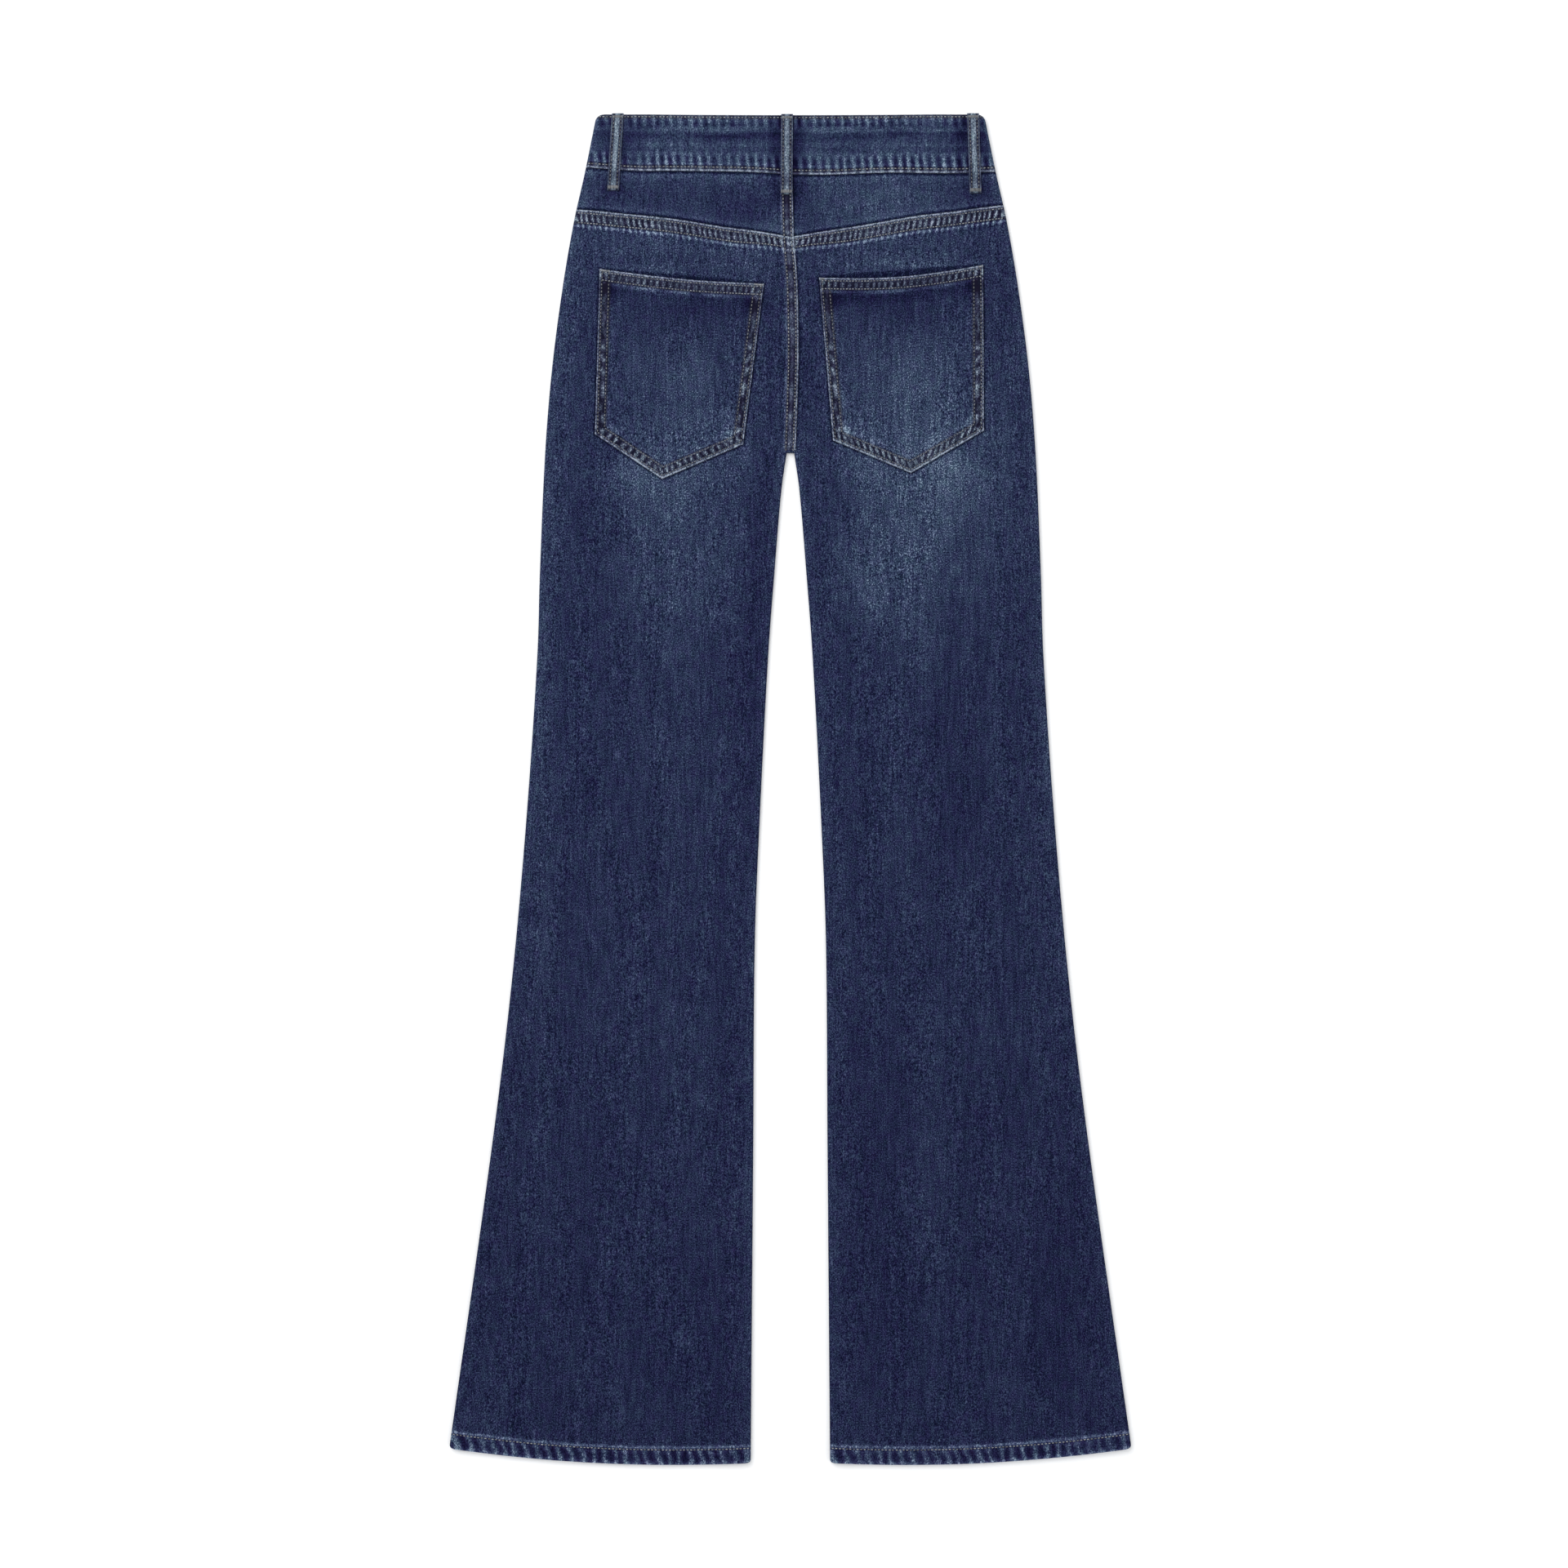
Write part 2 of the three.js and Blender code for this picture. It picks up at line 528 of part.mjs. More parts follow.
/** A belt loop: a folded strip with its ends turned under, on the outside of the waistband. */
function beltLoop({ topX, endX, over }, isBack) {
  const sheet = new Sheet();
  const topDrop = (isBack ? backTop(topX) : backTop(topX) + frontDip(topX)) - LOOP.stand;
  const bandEnd = isBack ? backBandEnd(topX) : frontBandEnd(topX);
  const endDrop = bandEnd + LOOP.below;
  const stops = [
    topDrop, topDrop + 1, topDrop + LOOP.endLength, topDrop + LOOP.endLength + 3,
    lerp(topDrop, bandEnd, 0.35), lerp(topDrop, bandEnd, 0.65), bandEnd - 3, bandEnd + 2, bandEnd + 7,
    endDrop - LOOP.endLength - 1, endDrop - LOOP.endLength, endDrop - 0.8, endDrop,
  ];
  const surface = (x, drop) => {
    if (!isBack) return 0;
    const onBand = propped(x, bandEnd) + WAISTBAND.foldHeight;
    if (drop <= bandEnd + 2) return onBand;
    return lerp(onBand, backHeight(x, drop) + over + 0.22, smooth((drop - bandEnd - 2) / 5));
  };
  const rows = stops.map((drop) => {
    const t = (drop - topDrop) / (endDrop - topDrop);
    const centre = lerp(topX, endX, t);
    const ending = Math.max(plateau(drop - topDrop, LOOP.endLength, LOOP.endLength + 3), plateau(endDrop - drop, LOOP.endLength, LOOP.endLength + 1));
    const slack = LOOP.slack * Math.sin(Math.PI * t);
    const rounding = 0.35 * plateau(Math.min(drop - topDrop, endDrop - drop), 0, 1);
    return [-1, -0.82, 0.82, 1].map((aside) => {
      const x = centre + aside * LOOP.width / 2;
      const bevel = Math.abs(aside) > 0.9 ? 0.35 : 0;
      const wall = LOOP.wall + LOOP.foldedEnd * ending;
      if (!isBack) {
        return sheet.node(point(x, drop, bevel + rounding), point(x, drop, LOOP_LIFT - SEW_GAP - slack));
      }
      const base = surface(x, drop) + 1.2 * SEW_GAP + slack;
      return sheet.node(point(x, drop, base + wall - bevel - rounding), point(x, drop, base));
    });
  });
  return sheet.rows(rows).geometry();
}

/** The head of the tack button, face down on the surface. */
function waistButton() {
  const { radius, thickness } = BUTTON;
  const profile = [
    new THREE.Vector2(0, 0.35), new THREE.Vector2(radius * 0.62, 0.35), new THREE.Vector2(radius * 0.72, 0),
    new THREE.Vector2(radius * 0.9, 0), new THREE.Vector2(radius, 0.9), new THREE.Vector2(radius, thickness - 0.9),
    new THREE.Vector2(radius * 0.8, thickness), new THREE.Vector2(0, thickness),
  ];
  const geometry = new THREE.LatheGeometry(profile, 28);
  geometry.rotateX(Math.PI / 2);
  return geometry;
}

// ---- the garment ---------------------------------------------------------------------------------

const denim = new THREE.MeshStandardMaterial({ color: 0x2e3656, roughness: 0.9, metalness: 0 });
const denimInside = new THREE.MeshStandardMaterial({ color: 0x2b3252, roughness: 0.92, metalness: 0 });
const brassed = new THREE.MeshStandardMaterial({ color: 0x8a7a5c, roughness: 0.35, metalness: 0.9 });

const jeans = new THREE.Group();

function add(name, geometry, material) {
  const mesh = new THREE.Mesh(geometry, material);
  mesh.name = name;
  jeans.add(mesh);
  return mesh;
}

const SIDES = [{ side: -1, word: 'left' }, { side: 1, word: 'right' }];

for (const { side, word } of SIDES) {
  const laps = side < 0;                       // at the centre seams the left side lies over the right
  const offset = laps ? 0 : SEW_GAP;
  const shared = { side, laps };
  add(`yoke_${word}`, panel({
    ...shared, isBack: true, isLeg: false, topLaps: false, columns: 8, upperRows: 5,
    seamAcross: (drop) => seatAcross(drop) + offset,
    top: (x) => backBandEnd(x) + SEW_GAP,
    bottom: (x) => yokeDrop(x) - SEW_GAP,
  }), denim);
  add(`back_leg_${word}`, panel({
    ...shared, isBack: true, isLeg: true, topLaps: true, columns: 8, upperRows: 6, lowerRows: 18,
    seamAcross: (drop) => seatAcross(drop) + offset,
    top: yokeDrop,
  }), denim);
  add(`front_leg_${word}`, panel({
    ...shared, isBack: false, isLeg: true, topLaps: false, columns: 6, upperRows: 7, lowerRows: 18,
    seamAcross: (drop) => flyAcross(drop) + offset,
    top: (x) => frontBandEnd(x) + 1.5 * SEW_GAP,
  }), denimInside);
}

add('waistband', waistband(), denim);

jeans.updateMatrixWorld();
for (const pocket of POCKETS) {
  const leg = jeans.getObjectByName(pocket.name.replace('pocket', 'back_leg'));
  add(pocket.name, patchPocket(pocket, leg), denim);
}
for (const loop of BACK_LOOPS) add(loop.name, beltLoop(loop, true), denim);
for (const loop of FRONT_LOOPS) add(loop.name, beltLoop(loop, false), denim);

const button = add('waist_button', waistButton(), brassed);
button.position.set(BUTTON.across, toY(backTop(0) + frontDip(0) + BUTTON.belowEdge), 0);

export default jeans;
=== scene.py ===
"""Wide leg jeans laid flat with their back up: the cloth, its wash, its sewing and a studio table.

Lengths in the cutting tables are millimetres. +X is the wearer's right, +Y is towards the waist and
+Z is up from the table. "drop" is a distance down from the waist edge, "across" one from the centre.
"""

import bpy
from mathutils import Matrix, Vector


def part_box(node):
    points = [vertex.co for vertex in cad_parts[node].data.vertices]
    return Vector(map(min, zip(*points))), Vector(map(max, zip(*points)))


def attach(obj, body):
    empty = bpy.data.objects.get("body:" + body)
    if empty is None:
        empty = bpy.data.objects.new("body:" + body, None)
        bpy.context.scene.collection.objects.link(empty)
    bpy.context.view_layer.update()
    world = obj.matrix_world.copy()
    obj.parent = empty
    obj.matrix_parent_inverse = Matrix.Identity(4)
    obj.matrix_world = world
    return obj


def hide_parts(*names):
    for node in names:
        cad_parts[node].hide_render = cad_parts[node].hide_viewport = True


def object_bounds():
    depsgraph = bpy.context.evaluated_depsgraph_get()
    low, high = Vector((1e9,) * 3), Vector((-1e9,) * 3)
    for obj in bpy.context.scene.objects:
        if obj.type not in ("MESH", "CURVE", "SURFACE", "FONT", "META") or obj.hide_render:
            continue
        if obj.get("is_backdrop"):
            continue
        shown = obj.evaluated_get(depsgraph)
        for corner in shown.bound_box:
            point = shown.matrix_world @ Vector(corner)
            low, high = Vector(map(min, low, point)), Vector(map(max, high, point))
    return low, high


bl_info = {
    "name": "Wide leg jeans, laid flat",
    "version": (1, 0, 0),
    "blender": (4, 5, 0),
    "location": "View3D > Sidebar > Jeans",
    "description": "Cuts, sews and washes a pair of wide leg denim jeans, laid flat on a table",
    "category": "Add Mesh",
}

import math  # noqa: E402

import bpy  # noqa: E402
import numpy as np  # noqa: E402
from bpy.props import FloatProperty, FloatVectorProperty, PointerProperty  # noqa: E402
from mathutils import Vector  # noqa: E402
from mathutils.bvhtree import BVHTree  # noqa: E402

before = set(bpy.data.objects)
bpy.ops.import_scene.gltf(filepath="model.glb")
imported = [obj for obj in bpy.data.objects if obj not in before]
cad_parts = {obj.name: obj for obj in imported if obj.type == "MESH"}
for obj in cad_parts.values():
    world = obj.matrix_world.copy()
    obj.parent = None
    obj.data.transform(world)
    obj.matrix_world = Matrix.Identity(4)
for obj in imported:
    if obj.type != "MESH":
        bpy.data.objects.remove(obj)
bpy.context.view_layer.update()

MM = 0.001
LEFT, RIGHT = -1, 1
SIDES = {LEFT: "left", RIGHT: "right"}

# ---- cutting tables, in millimetres -------------------------------------------------------------

TOP_Y = 562.0                    # y of the waist edge at the centre back
CLOTH = 1.2
SEW_GAP = 0.3
FOLD_HEIGHT = 4.8
SAG, SAG_REACH = 1.1, 42.0
CROTCH_DROP = 282.0
HALF_WAIST = 161.5

BAND_WALL, BAND_FOLD, BAND_DIP, BAND_CORNER, BAND_ROUND = 2.4, 6.2, 16.0, 5.5, 0.8
FRONT_END_STEP = 0.6
YOKE_BAND, SEAT_BAND, SEAM_RISE, SEAM_RAMP = 10.4, 9.6, 0.9, 0.8
HEM_DEPTH, HEM_RISE, HEM_RAMP, HEM_STITCH = 15.4, 0.7, 0.9, 12.5
HEM_CORNER, HEM_INNER_CORNER = 3.2, 2.6
LOOP_WIDTH, LOOP_WALL, LOOP_END_WALL, LOOP_SLACK = 9.8, 1.7, 0.6, 0.5
LOOP_STAND, LOOP_BELOW, LOOP_END = 0.5, 17.0, 4.0
POCKET_MARGIN, POCKET_RISE, POCKET_PUFF, POCKET_MOUTH = 8.5, 0.8, 0.5, 0.7
BUTTON_THICK, BUTTON_X = 2.5, -6.0
FLY_EDGE, FLY_TOP, FLY_LENGTH = 9.0, 64.0, 150.0
HEM_DROP, HEM_BOW, HEM_LOWEST, HEM_SPAN = 1125.0, 13.7, 98.0, 185.6  # lowest at 98 mm from the centre

SIDE_FOLD = (  # drop, across
    (0, 161.5), (47, 171), (88, 180.2), (143, 189.7), (211, 198.6), (280, 204.3), (382, 208.8),
    (450, 210.9), (586, 220), (722, 232.2), (858, 248.6), (1106, 283.6),
)
INSIDE_FOLD = (
    (282, 3.1), (313, 7.5), (382, 13.3), (450, 18.4), (586, 25.5), (690, 29.6), (858, 30.9), (1119, 33),
)
SEAT_SEAM = ((44, 1.6), (102, 3), (140, 5.8), (200, 6.8), (245, 5.6), (282, 4.3))
YOKE_SEAM = ((0, 102), (47, 94), (97, 85.3), (177, 77.7), (200, 76.5))  # across, drop
YOKE_TILT = -0.012
YOKE_WAVE = (  # x, how far the seam wanders down there
    (-175, -0.6), (-157, -0.5), (-131, 0.4), (-105, 0.8), (-79, 1.1), (-53, 0.8), (-27, -0.1), (0, 0.3),
    (27, 0.7), (53, 1.5), (79, 2.2), (105, 1.8), (131, 1.6), (157, 0.5), (175, 0),
)
BAND_WAVE = (
    (-165, 0.6), (-125, 1.2), (-104, 0.2), (-84, -0.5), (-63, -0.9), (-43, -1.2), (-22, -0.8), (-3, 0.2),
    (19, 0.4), (41, 0.1), (63, -0.8), (85, -1.1), (107, -0.4), (129, 0.25), (165, 0.3),
)

FOLDS = (  # x, drop, to x, to drop, half width, height
    (-16, 300, -120, 372, 13, 0.7), (-12, 322, -96, 452, 15, -0.5),
    (18, 298, 132, 360, 13, 0.6), (14, 330, 104, 476, 17, 0.7),
    (-150, 330, -122, 700, 26, 0.8), (-84, 420, -112, 900, 24, -0.5),
    (-60, 620, -84, 1120, 22, 0.7), (-176, 760, -206, 1150, 28, 0.8),
    (158, 350, 142, 660, 24, -0.4), (92, 500, 118, 1010, 27, 0.8),
    (150, 700, 186, 1150, 25, -0.5), (190, 820, 232, 1150, 22, 0.7),
    (58, 780, 72, 1150, 20, 0.6), (-172, 118, -60, 112, 12, 0.5), (60, 110, 176, 116, 12, 0.4),
)

POCKET_CORNERS = ("outer_top", "outer_base", "tip", "inner_base", "inner_top")
POCKETS = {  # corners as (x, drop), and how far the mouth dips
    "pocket_left": {
        "outer_top": (-158.8, 128.7), "inner_top": (-21.9, 141.1), "outer_base": (-162.8, 266.4),
        "tip": (-106.9, 303.7), "inner_base": (-39.3, 274.8), "sag": 2.4,
    },
    "pocket_right": {
        "outer_top": (160.6, 125.4), "inner_top": (23.9, 136.1), "outer_base": (161.2, 263.5),
        "tip": (100.3, 298.8), "inner_base": (35.5, 271.6), "sag": 4.6,
    },
}
LOOPS = {  # x at the top, x at the lower end, height of the seam under the end, on the back
    "loop_back_left": (-143.6, -147.6, 0, True),
    "loop_back_centre": (-2.7, -3.2, SEAM_RISE, True),
    "loop_back_right": (152, 154.2, 0, True),
    "loop_front_left": (-85, -86.5, 0, False),
    "loop_front_right": (85, 86.5, 0, False),
}

BACK_ROLL = (62, 49, 36, 23, 10, -3, -16, -30, -44)
FRONT_ROLL = (-82, -73, -64)
ROLL_REACH = (FOLD_HEIGHT + HEM_RISE) / 2 + 0.35
BAND_TURN = (66, 54, 42, 28, 14, 0, -15, -30, -45, -60, -78)
FAR = 99.0                       # for a distance to a seam that a piece doesn't have

# Rows of stitches, as distances from the folded edge of their seam.
YOKE_ROWS = (2.75, 9.2)
SEAT_ROWS = (2.1, 8.2)
BAND_ROWS = (2.0, 3.4)           # from the top edge and from the lower edge
POCKET_ROWS = ((2.1, 2.45), (7.9, 8.7))  # from the sides, from the lower edges
MOUTH_ROWS = (2.5, 9.1)
FINE, WIDE = 2.5, 2.95           # from one stitch to the next
LOOP_ROW = 1.9

# Where the cloth is washed paler or left darker: x, drop, half width, half height, amount. Some dark patches
# are painted shade instead: those just under the pocket mouths, and those at the back belt loops' lower ends.
WASH_AND_SHADE_PATCHES = (
    (-96, 368, 62, 82, 0.12), (-112, 318, 34, 26, 0.06), (-60, 390, 26, 60, 0.02),
    (104, 350, 66, 74, 0.16), (140, 318, 30, 44, 0.06), (66, 398, 22, 44, 0.06), (112, 436, 22, 60, 0.04),
    (-104, 264, 40, 32, 0.07), (-60, 258, 22, 24, 0.05), (-148, 235, 12, 70, -0.05), (-94, 212, 46, 26, 0.08),
    (102, 256, 50, 38, 0.14), (150, 240, 12, 60, -0.03), (56, 260, 18, 24, 0.02), (98, 210, 46, 26, 0.10),
    # This line's patches are painted shade just under the pocket mouths.
    (-92, 172, 46, 20, -0.05), (-70, 160, 50, 9, -0.07), (76, 156, 34, 10, -0.06), (96, 166, 50, 16, -0.04),
    (-16, 200, 7, 70, -0.06), (17, 195, 7, 80, -0.07), (-135, 300, 24, 13, 0.12), (-72, 304, 24, 13, 0.08),
    (66, 298, 24, 13, 0.08), (132, 294, 24, 13, 0.10),
    (-24, 392, 15, 120, -0.07), (26, 372, 15, 90, -0.01), (-40, 560, 20, 160, -0.03),
    # The last three patches of this line are painted shade beside the back belt loops' lower ends.
    (-30, 78, 34, 16, -0.10), (-3, 62, 15, 14, -0.26), (-148, 60, 13, 12, -0.16), (154, 60, 13, 12, -0.16),
    (-100, 68, 50, 14, -0.05), (70, 74, 56, 20, 0.09), (158, 84, 16, 26, -0.06),
    (-166, 300, 14, 120, -0.04), (176, 150, 14, 60, -0.05), (-90, 112, 66, 9, 0.05), (70, 108, 60, 9, 0.03),
    (92, 124, 66, 6, 0.12), (-90, 128, 66, 5, 0.06), (-16, 82, 8, 26, 0.12),
    (-5, 84, 3.5, 16, 0.12), (60, 20, 60, 22, 0.03),
    (-206, 520, 12, 320, 0.07), (212, 520, 12, 260, 0.03), (1, 106, 5, 7, 0.42), (-86, 560, 30, 110, 0.03),
    (-96, 760, 24, 150, 0.02), (96, 560, 18, 90, 0.05), (136, 520, 22, 120, -0.04), (70, 860, 26, 130, -0.04),
    (118, 820, 14, 110, 0.04), (-38, 700, 10, 120, 0.04), (44, 660, 10, 120, 0.03),
    (230, 1000, 30, 120, -0.03), (-250, 1090, 30, 60, 0.03), (180, 1090, 60, 40, 0.02),
    (60, 1100, 30, 30, 0.03),
)
FRONT_WASH = ((-100, 360, 56, 120, 0.12), (104, 350, 56, 110, 0.14))
WASH_BY_DROP = (
    (0, 0.41), (40, 0.40), (60, 0.345), (100, 0.325), (140, 0.30), (240, 0.295), (330, 0.26), (420, 0.25),
    (520, 0.252), (640, 0.24), (800, 0.242), (860, 0.235), (1000, 0.22), (1125, 0.216),
)


# ---- curves and soft noise ----------------------------------------------------------------------


def smooth(t):
    t = np.clip(t, 0.0, 1.0)
    return t * t * (3 - 2 * t)


def lerp(a, b, t):
    return a + (b - a) * t


def plateau(value, flat, zero):
    """1 up to flat, falling smoothly to 0 at zero."""
    return 1 - smooth((value - flat) / (zero - flat))


def between(value, low, high, edge):
    """1 between low and high, falling to 0 within edge outside them."""
    return plateau(low - value, 0, edge) * plateau(value - high, 0, edge)


def curve_through(rows):
    """A smooth curve through (place, value) rows, straight beyond its ends."""
    at, value = np.array(rows, float).T
    steps = np.arange(len(at))
    before, after = np.maximum(steps - 1, 0), np.minimum(steps + 1, len(at) - 1)
    slope = (value[after] - value[before]) / (at[after] - at[before])

    def curve(x):
        x = np.asarray(x, float)
        i = np.clip(np.searchsorted(at, x, side="right") - 1, 0, len(at) - 2)
        span = at[i + 1] - at[i]
        t = (x - at[i]) / span
        inside = (
            (1 + 2 * t) * (1 - t) ** 2 * value[i] + t * (1 - t) ** 2 * span * slope[i]
            + t**2 * (3 - 2 * t) * value[i + 1] + t**2 * (t - 1) * span * slope[i + 1]
        )
        low = value[i] + slope[i] * span * t
        high = value[i + 1] + slope[i + 1] * span * (t - 1)
        return np.where(t < 0, low, np.where(t > 1, high, inside))

    return curve


CLOUD_CELLS = 128                # the noise repeats after so many patches


def cloud(x, y, size_x, size_y, seed):
    """Smooth noise from -1 to 1, in patches of about that size."""
    table = np.random.RandomState(seed).uniform(-1, 1, (CLOUD_CELLS, CLOUD_CELLS))
    u, v = np.broadcast_arrays(np.asarray(x, float) / size_x, np.asarray(y, float) / size_y)
    i, j = np.floor(u).astype(int), np.floor(v).astype(int)
    s, t = smooth(u - i), smooth(v - j)
    i0, i1, j0, j1 = (k % CLOUD_CELLS for k in (i, i + 1, j, j + 1))
    return lerp(lerp(table[j0, i0], table[j0, i1], s), lerp(table[j1, i0], table[j1, i1], s), t)


def rope(along, away, pitch, slant, sharp, seed):
    """Puckers along a seam: -1 in a hollow and 1 on a crest. Sharp ones have narrow crests."""
    drift = 2.2 * cloud(along, 0.5, 3.1 * pitch, 1, seed) + 0.8 * cloud(along, 0.5, 1.3 * pitch, 1, seed + 1)
    depth = 0.66 + 0.34 * cloud(along, 0.5, 2.3 * pitch, 1, seed + 2)
    wave = np.sin(2 * np.pi * (along + slant * away) / pitch + drift)
    return depth * (2 * (0.5 + 0.5 * wave) ** (1 + sharp) - 1)


yoke_wave = curve_through(YOKE_WAVE)
band_wave = curve_through(BAND_WAVE)
side_across = curve_through(SIDE_FOLD)
inside_across = curve_through(INSIDE_FOLD)
seat_across = curve_through(SEAT_SEAM)
yoke_curve = curve_through(YOKE_SEAM)
wash_by_drop = curve_through(WASH_BY_DROP)


def back_top(x):
    return 1.3 * (1 - (x / HALF_WAIST) ** 2)


def back_band_end(x):
    return 50.3 - 4.7 * (x / 171) ** 2 + 2 * (x / 171) + band_wave(x)


def front_dip(x):
    return BAND_DIP * np.maximum(0, 1 - (x / HALF_WAIST) ** 2)


def front_band_end(x):
    return back_band_end(x) + front_dip(x)


def yoke_drop(x):
    return yoke_curve(np.abs(x)) + YOKE_TILT * x + yoke_wave(x)


def hem_drop(x):
    return HEM_DROP - HEM_BOW * ((np.abs(x) - HEM_LOWEST) / HEM_SPAN) ** 2


def fly_across(drop):
    below = drop - FLY_TOP - FLY_LENGTH
    return lerp(FLY_EDGE, 2, smooth(below / (CROTCH_DROP - FLY_TOP - FLY_LENGTH)))


def flare(x):
    """How much deeper the yoke seam's band is towards the sides than at the centre."""
    return 1.8 * smooth((np.abs(x) - 8) / 40)


def corner_inset(from_end, radius):
    reach = np.clip(radius - np.maximum(from_end, 0), 0, radius)
    return radius - np.sqrt(radius**2 - reach**2)


def fold_round(distance, reach=0.7):
    """How far a folded edge rounds down at a distance from it."""
    t = np.clip(distance / reach, 0, 1)
    return 0.55 * (1 - np.sqrt(1 - (1 - t) ** 2))


# ---- the lie of the cloth -----------------------------------------------------------------------

LOOP_LIFT = LOOP_WALL + LOOP_END_WALL + SEW_GAP
BUTTON_LIFT = BUTTON_THICK + SEW_GAP - LOOP_LIFT


def propped(x, drop):
    """How far the front loops and the waist button prop the cloth up from the table."""
    return (
        LOOP_LIFT * plateau(np.abs(x), 112, 152) * plateau(drop, 98, 158)
        + BUTTON_LIFT * plateau(np.abs(x - BUTTON_X), 20, 60) * plateau(drop, 64, 110)
    )


def folds_at(x, drop):
    total = 0
    for from_x, from_drop, to_x, to_drop, width, height in FOLDS:
        along_x, along_y = to_x - from_x, to_drop - from_drop
        length = math.hypot(along_x, along_y)
        t = ((x - from_x) * along_x + (drop - from_drop) * along_y) / length**2
        aside = ((x - from_x) * along_y - (drop - from_drop) * along_x) / length
        total = total + height * np.sin(np.pi * np.clip(t, 0, 1)) * np.exp(-((aside / width) ** 2))
    return total


def from_outline(x, drop):
    """Distance from the nearest fold of the outline."""
    across = np.abs(x)
    below = across - inside_across(drop)
    above = np.hypot(np.maximum(0, across - 6), CROTCH_DROP - drop)
    inside = np.where(drop > CROTCH_DROP, below, above)
    return np.maximum(0, np.minimum(side_across(drop) - across, inside) - FOLD_HEIGHT / 2)


def rumple(x, drop):
    """The cloth's own small unevenness, which lies in long shallow waves down the legs."""
    waves = (
        0.22 * cloud(x + 0.12 * drop, drop, 34, 150, 11) + 0.13 * cloud(x - 0.1 * drop, drop, 17, 60, 12)
        + 0.06 * cloud(x, drop, 9, 24, 13)
    )
    return waves * smooth(from_outline(x, drop) / 16)


def seam_rise(from_top, from_seat, from_hem, drop):
    """How much thicker the felled seams and the hem make the cloth."""
    yoke = plateau(from_top, YOKE_BAND - SEAM_RAMP, YOKE_BAND)
    seat = plateau(from_seat, SEAT_BAND - SEAM_RAMP, SEAT_BAND)
    seat = seat * plateau(drop, CROTCH_DROP - 12, CROTCH_DROP - 3)
    hem = plateau(from_hem, HEM_DEPTH - HEM_RAMP, HEM_DEPTH)
    return np.maximum(SEAM_RISE * np.maximum(yoke, seat), HEM_RISE * hem)


def seam_ropes(x, drop, from_top, from_hem):
    """(height, paleness) of the puckers that the yoke seam and the hem pull in the cloth."""
    below, above = np.maximum(0, from_top - 12), np.maximum(0, -from_top)
    yoke = rope(x, from_top, 4.9, 0.25 * np.sign(x), 0.2, 21) * (
        between(from_top, 3.9, 8.2, 0.7) + 0.6 * (from_top > 10.2) * np.exp(-((below / 2.6) ** 2))
        + 0.12 * (from_top < 0) * np.exp(-above / 4)
    )
    over = np.maximum(0, from_hem - HEM_DEPTH)
    hem = rope(x + 1.6 * cloud(x, from_hem, 7, 5, 33), from_hem, 9.2, 0.26, 0.5, 31) * (
        between(from_hem, 0.6, 11.4, 1.2) + 0.12 * (from_hem > 13) * np.exp(-over / 7)
    )
    away = smooth(from_outline(x, drop) / 5 + 0.2)
    return (0.26 * yoke + 0.34 * hem) * away, 0.50 * yoke + 0.30 * hem


def back_height(x, drop):
    """The outer face of the back layer, before seams and hems."""
    inner = smooth(from_outline(x, drop) / SAG_REACH)
    past_band = drop - back_band_end(x) - front_dip(x)
    return (
        propped(x, drop) + FOLD_HEIGHT + 0.5 * plateau(past_band, 0.5, 18)
        + (folds_at(x, drop) - SAG * smooth(past_band / 60)) * inner
    )


def front_height(x, drop):
    return propped(x, drop) + 0.8 * plateau(drop - front_band_end(x), 0.5, 14)


def wash(x, drop, patches=WASH_AND_SHADE_PATCHES):
    """How far the dye is washed out, from 0 to 1; patches that stand for painted shade lower it too."""
    x, drop = np.broadcast_arrays(np.asarray(x, float), np.asarray(drop, float))
    pale = wash_by_drop(drop)
    wander = 1 + 0.25 * cloud(x, drop, 22, 40, 61)
    for at_x, at_drop, width, height, amount in patches:
        away = ((x - at_x) / width) ** 2 + ((drop - at_drop) / height) ** 2
        pale = pale + amount * np.exp(-away * wander)
    streaks = 0.030 * cloud(x, drop, 5.5, 70, 62) + 0.026 * cloud(x, drop, 14, 130, 63)
    blotches = 0.022 * cloud(x, drop, 16, 34, 64) + 0.016 * cloud(x, drop, 40, 60, 65)
    return pale + (streaks + blotches) * (0.55 + 1.2 * np.clip(pale - 0.2, 0, 1))


# ---- walls of cloth -----------------------------------------------------------------------------


